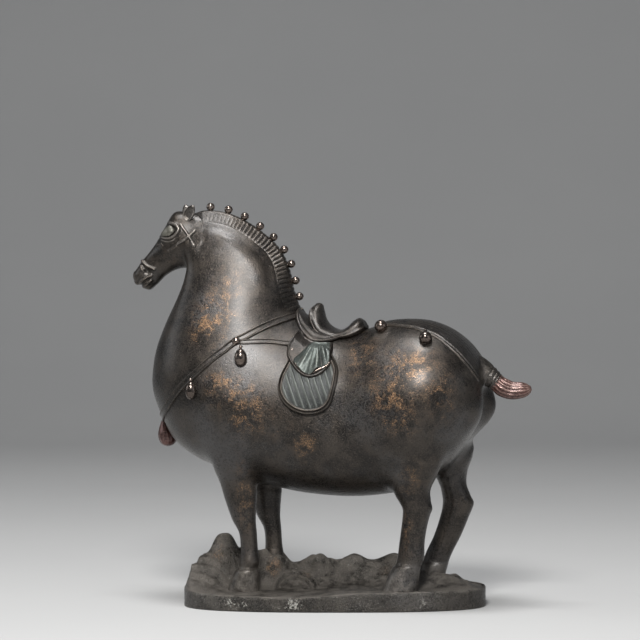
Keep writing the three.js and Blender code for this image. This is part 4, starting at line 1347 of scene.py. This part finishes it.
def seat_shape():
    """Shell arched over the back: at each station an arc from rim to rim with a rounded bead along
    the rim and a shallow trough inside it, and a smaller arc below it that is nearer at the rims and
    sinks into the back under the cantle."""
    rows, arc, thickness, cantle_sunk = 110, 61, 2.8, 3.2
    t = np.linspace(0, 1, rows)
    x, z, rim_x, rim_z, span = through(SEAT, t).T[..., None]
    run = run_along(SEAT, t, 0.01)
    inward = unit(points_at(run[:, 1], 0, -run[:, 0]))[:, None]
    angle = np.linspace(-0.5, 0.5, arc) * np.pi
    drop = 1 - np.cos(angle)
    outer = np.stack([x + (rim_x - x) * drop, span * np.sin(angle), z + (rim_z - z) * drop], -1)
    reach = np.abs(angle) / (0.5 * np.pi)
    relief = 0.6 * bell(reach - 0.95, 0.06) - 0.5 * bell(reach - 0.8, 0.1)
    swell = np.sin(np.pi * np.clip(t, 0.02, 0.98))[:, None]
    away = points_at(0, np.sign(angle), 0) * 0.9 - inward * 0.45
    outer = outer + away * (relief * (0.35 + 0.65 * swell))[..., None]
    thick = thickness * (0.3 + 0.7 * swell) * (0.2 + 0.8 * np.cos(angle))
    inner = outer * (1, 0.94, 1) + inward * thick[..., None]
    cantle = smoothstep(t, 0.66, 0.84)[:, None]
    inner[..., 1] *= 1 - 0.12 * cantle
    inner[..., 2] -= cantle_sunk * cantle
    return shell(outer, inner)


def pad_shape():
    """Cover laid over the back under the seat: its edge follows the pad's line on both flanks, with a
    shallow trough along it."""
    rows, parts, sunk = 90, 61, 1.4
    t, reach = (values[:, None] for values in flank(*smooth_line(PAD_EDGE, rows).T))
    s = np.linspace(-1, 1, parts)
    lift = PAD_RISE * (1 - s ** 20) - 0.45 * bell(np.abs(s) - 0.84, 0.08)
    return shell(on_skin(t, reach * s, lift), on_skin(t, reach * s, -sunk))


# Rings of a flap as shares from its middle to its edge, closer near the edge; the points on each; how
# far the rings of its side wall lie below its edge; and how deep its underside is sunk
FLAP_RINGS = np.concatenate([np.linspace(0.02, 0.9, 44), np.linspace(0.905, 1, 18)])
FLAP_SPOKES = 260
WALL_DROPS = (0.45, 1.0, 1.6)
FLAP_SUNK = 1.3


def flap_shape(outline, lift_of, rings=FLAP_RINGS, spokes=FLAP_SPOKES):
    """Patch over the flank: polar grid between a middle point and a closed outline in side view,
    lifted off the skin by lift_of, with its edge turned straight down into the skin."""
    closed = np.asarray(outline + outline[:1], float)
    wrapped = np.vstack([closed[-2], closed, closed[1]])
    k = len(wrapped) - 1
    edge = through(wrapped, (1 + np.linspace(0, 1, spokes, endpoint=False) * (k - 2)) / k)
    middle = edge.mean(0)
    r = rings[:, None]
    x, z = np.moveaxis(middle + (edge - middle) * r[..., None], -1, 0)
    t, angle = flank(x, z)
    lift = lift_of(x, z, r)
    top = on_skin(t, angle, lift)
    wall = np.stack([on_skin(t[-1], angle[-1], lift[-1] - drop) for drop in WALL_DROPS])
    under = on_skin(t[::-6], angle[::-6], -FLAP_SUNK)
    return tube(np.concatenate([top, wall, under]))


def flap_radius(count):
    """Share from the middle to the edge for each of a flap's points: 1 on its wall and underside, and
    0 at the middle of its top, which is the last point but one."""
    top = np.repeat(FLAP_RINGS, FLAP_SPOKES)
    share = np.concatenate([top, np.ones(count - len(top))])
    share[-2] = 0
    return share


def tucked(x, z):
    """Rises from 0 at the pad's lower edge to 1 a little way below it."""
    return smoothstep(line_distance(x, z, PAD_EDGE), 0.4, 6)


def flap_line_gap(x, z):
    """Distance from the nearest of the slanting lines on the lower flap."""
    across = ((x + 8) * 0.925 + (z - 125) * 0.38) / FLAP_LINE_PITCH
    return np.abs(across - np.round(across)) * FLAP_LINE_PITCH


def lower_flap_inside(r):
    """1 on the cloth inside the flap's rim, 0 on the rim."""
    return 1 - smoothstep(r, 0.8, 0.86)


def lower_flap_lift(x, z, r):
    """Plain cloth with narrow slanting ridges inside a raised double rim."""
    ridge = bell(flap_line_gap(x, z), FLAP_LINE_WIDTH)
    rim = bell(r - 0.972, 0.022) + 0.75 * bell(r - 0.885, 0.02)
    groove = bell(r - 0.93, 0.02)
    return (1.6 + 0.35 * ridge * lower_flap_inside(r) + 0.9 * rim - 0.5 * groove
            - 0.3 * smoothstep(r, 0.985, 1))


def upper_flap_lift(x, z, r):
    """Smooth padded leather that comes out from under the pad, rounded at its edge."""
    edge = 0.25 * bell(r - 0.93, 0.04) - 0.9 * smoothstep(r, 0.95, 1) ** 2
    return 0.9 + 2.0 * tucked(x, z) + edge


def front_flap_lift(x, z, r):
    """Cloth in folds that spread from below the seat: rounded ridges over the bearing from the fold
    centre, deeper towards the scalloped foot, which ends in a rolled edge."""
    beside, below = x - FOLD_CENTRE[0], FOLD_CENTRE[1] - z
    bearing = np.arctan2(beside, below)
    far = np.hypot(beside, below)
    folds = np.abs(np.sin(bearing * 7.5 + 0.5)) ** 0.8 + 0.25 * np.sin(bearing * 22 + 0.25 * far)
    edge = 0.5 * bell(r - 0.965, 0.025) - 0.9 * smoothstep(r, 0.975, 1) ** 2
    return 1.4 + 2.2 * tucked(x, z) + 1.2 * smoothstep(far, 3, 14) * (folds - 0.5) + edge


class HORSE_OT_harness(bpy.types.Operator):
    """Build the breast strap, its ornaments, the spine band and the bells"""
    bl_idname = "horse.harness"
    bl_label = "Straps and ornaments"

    def execute(self, context):
        width = sizes().strap_width / MM
        upper = np.stack(flank(*np.asarray(UPPER_STRAP).T), -1)
        chest = [float(flank(*BREAST_END)[0]), np.pi]
        strap = both_sides(merged(
            ribbon_on(np.vstack([upper, chest]), width, strap_section(1.15), 320, (0, 0)),
            ribbon(LOWER_STRAP, width * 0.72, strap_section(1.05), 90, (0, 0))))
        make_piece(mesh_of("breast_strap", strap), "dark_bronze")
        make_piece(mesh_of("spine_band", band_shape()), "dark_bronze")
        rounds = merged(merged(*ornaments(0)), mirrored(merged(*ornaments(OFF_BELL_DROP))))
        make_piece(mesh_of("strap_ornaments", rounds), "rubbed_bronze")
        make_piece(mesh_of("tassel", tassel_shape()), "lacquered_bronze")
        return {"FINISHED"}


def band_shape():
    """Broad band over the spine: its near edge is a line on the flank, mirrored for the far one; fine
    lines run lengthwise between two rounded edges."""
    rows, parts, line_pairs, sunk = 150, 121, 7.5, 1.2
    t, reach = flank(*smooth_line(BAND_EDGE, rows).T)
    order = np.argsort(t)
    t, reach = t[order][:, None], reach[order][:, None]
    s = np.linspace(-1, 1, parts)
    lines = 0.5 + 0.5 * np.cos(2 * np.pi * line_pairs * s)
    beads = bell(np.abs(s) - 0.965, 0.02) + bell(np.abs(s) - 0.86, 0.025)
    lift = 0.6 * (1 - s ** 24) + 0.5 * beads + 0.12 * lines * (1 - s ** 8)
    front_end = np.sqrt(smoothstep(np.linspace(0, 1, rows), -0.01, 0.05))[:, None]
    return shell(on_skin(t, reach * s, lift * front_end), on_skin(t, reach * s, -sunk))


def egg(radius, half_length):
    """Egg profile about its middle, fuller below, with a small round loop on top."""
    angle = np.linspace(0.44 * np.pi, -0.5 * np.pi, 24, endpoint=False)
    fuller = 1 - 0.1 * np.sin(angle)
    body = np.stack([radius * np.cos(angle) * fuller, half_length * np.sin(angle)], -1)
    turn = np.linspace(0.48 * np.pi, -0.3 * np.pi, 8)
    loop = np.stack([1.05 * np.cos(turn), half_length + 0.9 + 1.0 * np.sin(turn)], -1)
    return np.vstack([loop, body])


def ornaments(bell_drop):
    """Boss, eggs and bells of the near side; bell_drop sets the bells lower down the flank."""
    x, z, radius, rise = BOSS
    at = flank(x, z)
    yield turned(dome(radius, rise, 1.5, 12), skin(*at), skin_normal(*at), 28)
    for x, z, radius, half_length in PENDANTS:
        side = on_skin(*flank(x, z), radius * 0.55)
        yield turned(egg(radius, half_length), (side[0], side[1], z), (0, 0, 1), 36)
    for x, z, radius, nub in BELLS:
        at = flank(x, z - bell_drop)
        angles = np.linspace(-0.5 * np.pi, 0.36 * np.pi, 20)[1:]
        ball = np.stack([radius * np.cos(angles), radius * np.sin(angles)], -1)
        top = [[1.15, 3.5], [0.95, 4.3], [0.6, 5.0]] if nub else [[1.0, 3.42]]
        normal = skin_normal(*at)
        up = np.array([0, 0, 1]) - normal * normal[2] * 0.6
        yield turned(np.vstack([ball, top]), on_skin(*at, radius * 0.5), up, 32)


def tassel_shape():
    """Full pear profile with faint upright flutes, hung from a small knot."""
    sides, flutes, flute_depth = 96, 14, 0.035
    x, z, radius, length = TASSEL
    share = np.linspace(0, 1, 44)
    swell = 0.34 + 0.66 * np.sin(0.5 * np.pi * np.clip(share / 0.62, 0, 1)) ** 1.1
    foot = np.sqrt(np.clip(1 - ((share - 0.6) / 0.405).clip(0) ** 2.4, 0, 1))
    profile = np.stack([radius * np.maximum(swell * foot, 0.04), -length * share], -1)
    return turned(profile, (x, 0, z), (-TASSEL_LEAN, 0, 1), sides, flutes, flute_depth)


class HORSE_OT_tail(bpy.types.Operator):
    """Build the tied tuft of the tail"""
    bl_idname = "horse.tail"
    bl_label = "Tail tuft"

    def execute(self, context):
        overlap = 0.03
        tuft = tail_shape(TAIL_SEAM - overlap, 1, True)
        make_piece(mesh_of("tail_tuft", tuft), "lacquered_bronze")
        return {"FINISHED"}


def tail_shape(start, end, tuft):
    """Oval sections along the tail's line: the root is wrapped in slanting turns, the tuft has
    lengthwise locks that deepen towards the tip."""
    rows, columns = 140, 84
    t = np.linspace(start, end, rows)[:, None]
    x, z, thick, wide = through(TAIL, t[:, 0]).T[..., None]
    run = run_along(TAIL, t[:, 0], 0.02)
    up = unit(points_at(-run[:, 1], 0, run[:, 0]))[:, None]
    angle = full_turn(columns)
    if tuft:
        locks = np.abs(np.sin(7 * angle + 2.4 * (t - 0.5)))
        swell = 1 - 0.16 * smoothstep(t, 0.46, 0.6) * (1 - locks ** 0.6)
    else:
        turns = np.abs(np.sin(np.pi * (t * 17 + 0.35 * np.sin(angle + 0.8))))
        swell = 1 - 0.07 * smoothstep(t, 0.27, 0.36) * (1 - turns ** 0.7)
    return tube(points_at(x, 0, z) + up * (thick * swell * np.cos(angle))[..., None]
                + np.array([0, 1, 0]) * (wide * swell * np.sin(angle))[..., None])


class HORSE_OT_plinth(bpy.types.Operator):
    """Build the plinth with its ground and rocks"""
    bl_idname = "horse.plinth"
    bl_label = "Plinth and rocks"

    def execute(self, context):
        front_wall = -30
        shape = plinth_shape()
        mesh = mesh_of("plinth", shape, level)
        x, y, z = shape[0].T
        add_mask(mesh, "gilt", np.clip(spots(x, y, STAINS) * smoothstep(z, 9, 12), 0, 1))
        add_mask(mesh, "deposit", np.clip(spots(x, z, DEPOSITS) * (y < front_wall), 0, 1))
        add_mask(mesh, "foot", smoothstep(-x, 56, 66) * smoothstep(z, 9.5, 12))
        make_piece(mesh, "dusty_bronze")
        return {"FINISHED"}


def ground(x, y, from_edge):
    """Height of the plinth's top: the rim's own, a bell-shaped rise to the ridge line and a steeper
    peak at the left; on the rocks, beds as circles round one centre at the left and slanting folds
    elsewhere; fine waves all over; nested arcs on the mound in front of the middle rock; and an uneven
    lip with a gutter inside it along the edge."""
    rim = profile_at(RIM, x)
    line = profile_at(RIDGE, x, 1)
    ridge = profile_at(RIDGE, x, 2)
    away = np.abs(y - line) / np.where(y < line, 15, 10)
    rise = np.maximum(ridge - rim, 0) * np.exp(-1.6 * away ** 1.7)
    peak_x, peak_y, peak_rise, reach_x, reach_y = PEAK
    steep = np.abs((x - peak_x) / reach_x) ** 4.5 + np.abs((y - peak_y) / reach_y) ** 2.6
    rise += peak_rise * np.exp(-steep)
    height = rim + rise

    centre_x, centre_z, pitch = STRATA
    radius = np.hypot(x - centre_x, height - centre_z)
    wander = 0.5 * np.sin(x / 4.3) + 0.4 * np.sin(y / 3.1 + 1)
    beds = np.abs(np.sin(np.pi * (radius + wander - 15) / pitch)) ** 0.9
    beds = beds * (1 - smoothstep(radius, 24, 30))
    slant = x / 3.4 + y / 6.5 + 1.3 * np.sin(x / 8.3 + 0.7) + 0.5 * np.sin(y / 3.3)
    folds = np.abs(np.sin(slant)) ** 0.8 - 0.6 + 0.25 * np.sin(2.7 * slant + y / 2.3)
    left = smoothstep(-x, 52, 60)
    relief = smoothstep(rise, 1.0, 6) * (left * 1.5 * (beds - 0.5) + (1 - left) * 0.75 * folds)
    relief += 0.14 * np.sin(x / 3.1 + 1.3 * np.sin(y / 4.2)) * np.sin(y / 2.7 + x / 7)

    mound_x, mound_z, reach_x, reach_z = MOUND
    from_mound = np.hypot((x - mound_x) / reach_x, (height - mound_z) / reach_z)
    in_front = (1 - smoothstep(y, line - 3, line)) * smoothstep(height, mound_z + 1.5, mound_z + 3.5)
    relief *= 1 - in_front * (1 - smoothstep(from_mound, 1.0, 1.2))
    for at, width, much in ((1.0, 0.055, 1), (0.88, 0.06, -1), (0.76, 0.06, 0.8), (0.63, 0.07, -0.7)):
        relief += 1.25 * in_front * much * bell(from_mound - at, width)

    lip = 0.5 * bell(from_edge - 0.9, 0.7) * (0.75 + 0.35 * np.sin(x / 5.7) * np.sin(x / 2.9 + 1))
    gutter = -0.55 * bell(from_edge - 2.6, 0.9)
    return height + relief * smoothstep(from_edge, 1.2, 4) + lip + gutter


def plinth_shape():
    """Cross-sections along the plinth: the outline's half depth is a superellipse, the underside is
    flat, the sides upright with rounded edges, the top follows ground()."""
    columns, across, low_round, high_round = 420, 150, 1.1, 0.9
    half_length = sizes().plinth_length / MM / 2
    half_depth = sizes().plinth_depth / MM / 2
    share = (np.sin(np.linspace(-0.5, 0.5, columns) * np.pi) * 0.9995)[:, None]
    x = share * half_length
    reach = half_depth * (1 - np.abs(share) ** PLINTH_SQUARENESS) ** (1 / PLINTH_SQUARENESS)
    rim = profile_at(RIM, x)
    wobble = 0.18 * np.sin(x / 4.1) + 0.12 * np.sin(x / 1.9 + 2)
    turn = np.linspace(0, 0.5 * np.pi, 8)
    climb = np.linspace(0.2, 0.86, 14)
    off_side = np.concatenate([
        points_at(x, reach - low_round + low_round * np.sin(turn), low_round - low_round * np.cos(turn)),
        points_at(x, reach + wobble * bell(climb - 0.5, 0.4) * 0.6, low_round + (rim - 2.2) * climb),
        points_at(x, reach - high_round + high_round * np.cos(turn),
                  rim - high_round + high_round * np.sin(turn) + 0.45 * np.sin(turn) ** 4)], 1)
    near_side = (off_side * (1, -1, 1))[:, ::-1]
    steps = np.linspace(0, 1, across + 2)[1:-1]
    s = 0.45 * np.cos(np.pi * steps) + 0.55 * (1 - 2 * steps)
    from_edge = np.minimum(reach * (1 - np.abs(s)), (half_length - np.abs(x)) * 1.4) + 0.9
    y = (reach - 0.95) * s
    top = points_at(x, y, ground(x, y, from_edge))
    bottom = points_at(x, (reach - low_round) * np.linspace(-0.9, 0.9, 9), 0)
    return tube(np.concatenate([bottom, off_side, top, near_side], axis=1))


# Lamps: name, place and side length in metres, power in watts, colour
LAMPS = (
    ("key", (-0.12, -1.15, 1.0), 0.3, 24, (1, 0.99, 0.975)),
    ("side", (-1.25, 0.1, 0.55), 0.5, 2.2, (0.94, 0.97, 1)),
    ("fill", (1.1, -0.8, 0.5), 0.9, 2.2, (0.93, 0.96, 1)),
    ("top", (-0.1, -0.2, 1.3), 0.35, 12, (1, 1, 1)),
)


class HORSE_OT_stage(bpy.types.Operator):
    """Build the floor, the lights and the camera"""
    bl_idname = "horse.stage"
    bl_label = "Floor, lights and camera"

    def execute(self, context):
        scene = context.scene
        make_floor()
        world = bpy.data.worlds.new("studio")
        world.use_nodes = True
        sky = world.node_tree.nodes["Background"].inputs
        sky["Color"].default_value = (0.82, 0.86, 0.92, 1)
        sky["Strength"].default_value = 0.16
        scene.world = world
        aim = Vector((0, 0, 0.11))
        for name, where, size, power, colour in LAMPS:
            light = bpy.data.lights.new(name, "AREA")
            light.shape = "SQUARE"
            light.size = size
            light.energy = power
            light.color = colour
            lamp = bpy.data.objects.new(name, light)
            lamp.location = where
            lamp.rotation_euler = (aim - Vector(where)).to_track_quat("-Z", "Y").to_euler()
            scene.collection.objects.link(lamp)
        scene.view_settings.view_transform = "Standard"
        scene.camera = make_camera()
        return {"FINISHED"}


def make_floor():
    """Plain sheet that lies flat and curves up behind: a profile of depth and height carried along x."""
    bend = np.linspace(0, 0.5 * np.pi, 24)
    depth = np.concatenate([[-4, -1, 0.4], 1.2 + 1.0 * np.sin(bend), [2.2]])
    height = np.concatenate([[0, 0, 0], 1.0 - 1.0 * np.cos(bend), [4]])
    grid = points_at(np.linspace(-4, 4, 9)[:, None], depth, height)
    rows, columns = grid.shape[:2]
    k = np.arange(columns - 1)
    row = np.arange(rows - 1)[:, None] * columns
    quads = np.stack([row + k, row + columns + k, row + columns + k + 1, row + k + 1], -1).reshape(-1, 4)
    no_tris = np.zeros((0, 3), int)
    mesh = mesh_of("floor", (grid.reshape(-1, 3), quads, no_tris), lambda points: points)
    material = bpy.data.materials.new("pale_floor")
    material.use_nodes = True
    tree = material.node_tree
    shader = tree.nodes["Principled BSDF"].inputs
    grain = noise(tree, object_place(tree), 3, 3)
    colour = blend(tree, grain, (0.42, 0.42, 0.42, 1), (0.47, 0.47, 0.465, 1))
    tree.links.new(colour, shader["Base Color"])
    shader["Roughness"].default_value = 0.9
    mesh.materials.append(material)
    floor = bpy.data.objects.new("floor", mesh)
    bpy.context.scene.collection.objects.link(floor)


def make_camera():
    """Camera at the photo's place: 1.8 m off, two degrees down, 352 mm wide at the horse, aimed a
    little left of the plinth's middle and 156.9 mm up."""
    distance, tilt, wide, sensor = 1.8, math.radians(2), 0.352, 36.0
    aim_left, aim_height = 0.00825, 0.1569
    target = Vector((CENTRE[0] - aim_left, CENTRE[1], aim_height))
    view = Vector((0, math.cos(tilt), -math.sin(tilt)))
    data = bpy.data.cameras.new("camera")
    data.sensor_width = sensor
    data.lens = sensor * distance / wide
    data.clip_end = 20
    camera = bpy.data.objects.new("camera", data)
    camera.location = target - view * distance
    camera.rotation_euler = view.to_track_quat("-Z", "Y").to_euler()
    bpy.context.scene.collection.objects.link(camera)
    return camera


class HORSE_PT_panel(bpy.types.Panel):
    """Steps and values of the horse"""
    bl_idname = "HORSE_PT_panel"
    bl_label = "Gilt bronze horse"
    bl_space_type = "VIEW_3D"
    bl_region_type = "UI"
    bl_category = "Horse"

    def draw(self, context):
        for group in (context.scene.horse_sizes, context.scene.horse_colours):
            for name in group.__annotations__:
                self.layout.prop(group, name)
        for step in STEPS:
            self.layout.operator(step.bl_idname)


STEPS = (HORSE_OT_body, HORSE_OT_face, HORSE_OT_mane, HORSE_OT_saddle, HORSE_OT_harness, HORSE_OT_tail,
         HORSE_OT_plinth, HORSE_OT_stage)
CLASSES = (HorseSizes, HorseColours, *STEPS, HORSE_PT_panel)


def register():
    """Makes the classes and the two groups of values known to Blender."""
    for cls in CLASSES:
        bpy.utils.register_class(cls)
    bpy.types.Scene.horse_sizes = bpy.props.PointerProperty(type=HorseSizes)
    bpy.types.Scene.horse_colours = bpy.props.PointerProperty(type=HorseColours)


def unregister():
    """Takes them out again, in the other order."""
    del bpy.types.Scene.horse_colours
    del bpy.types.Scene.horse_sizes
    for cls in reversed(CLASSES):
        bpy.utils.unregister_class(cls)


def main():
    """Registers the classes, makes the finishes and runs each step."""
    register()
    make_finishes()
    for step in STEPS:
        group, name = step.bl_idname.split(".")
        getattr(getattr(bpy.ops, group), name)()


if __name__ == "__main__":
    main()
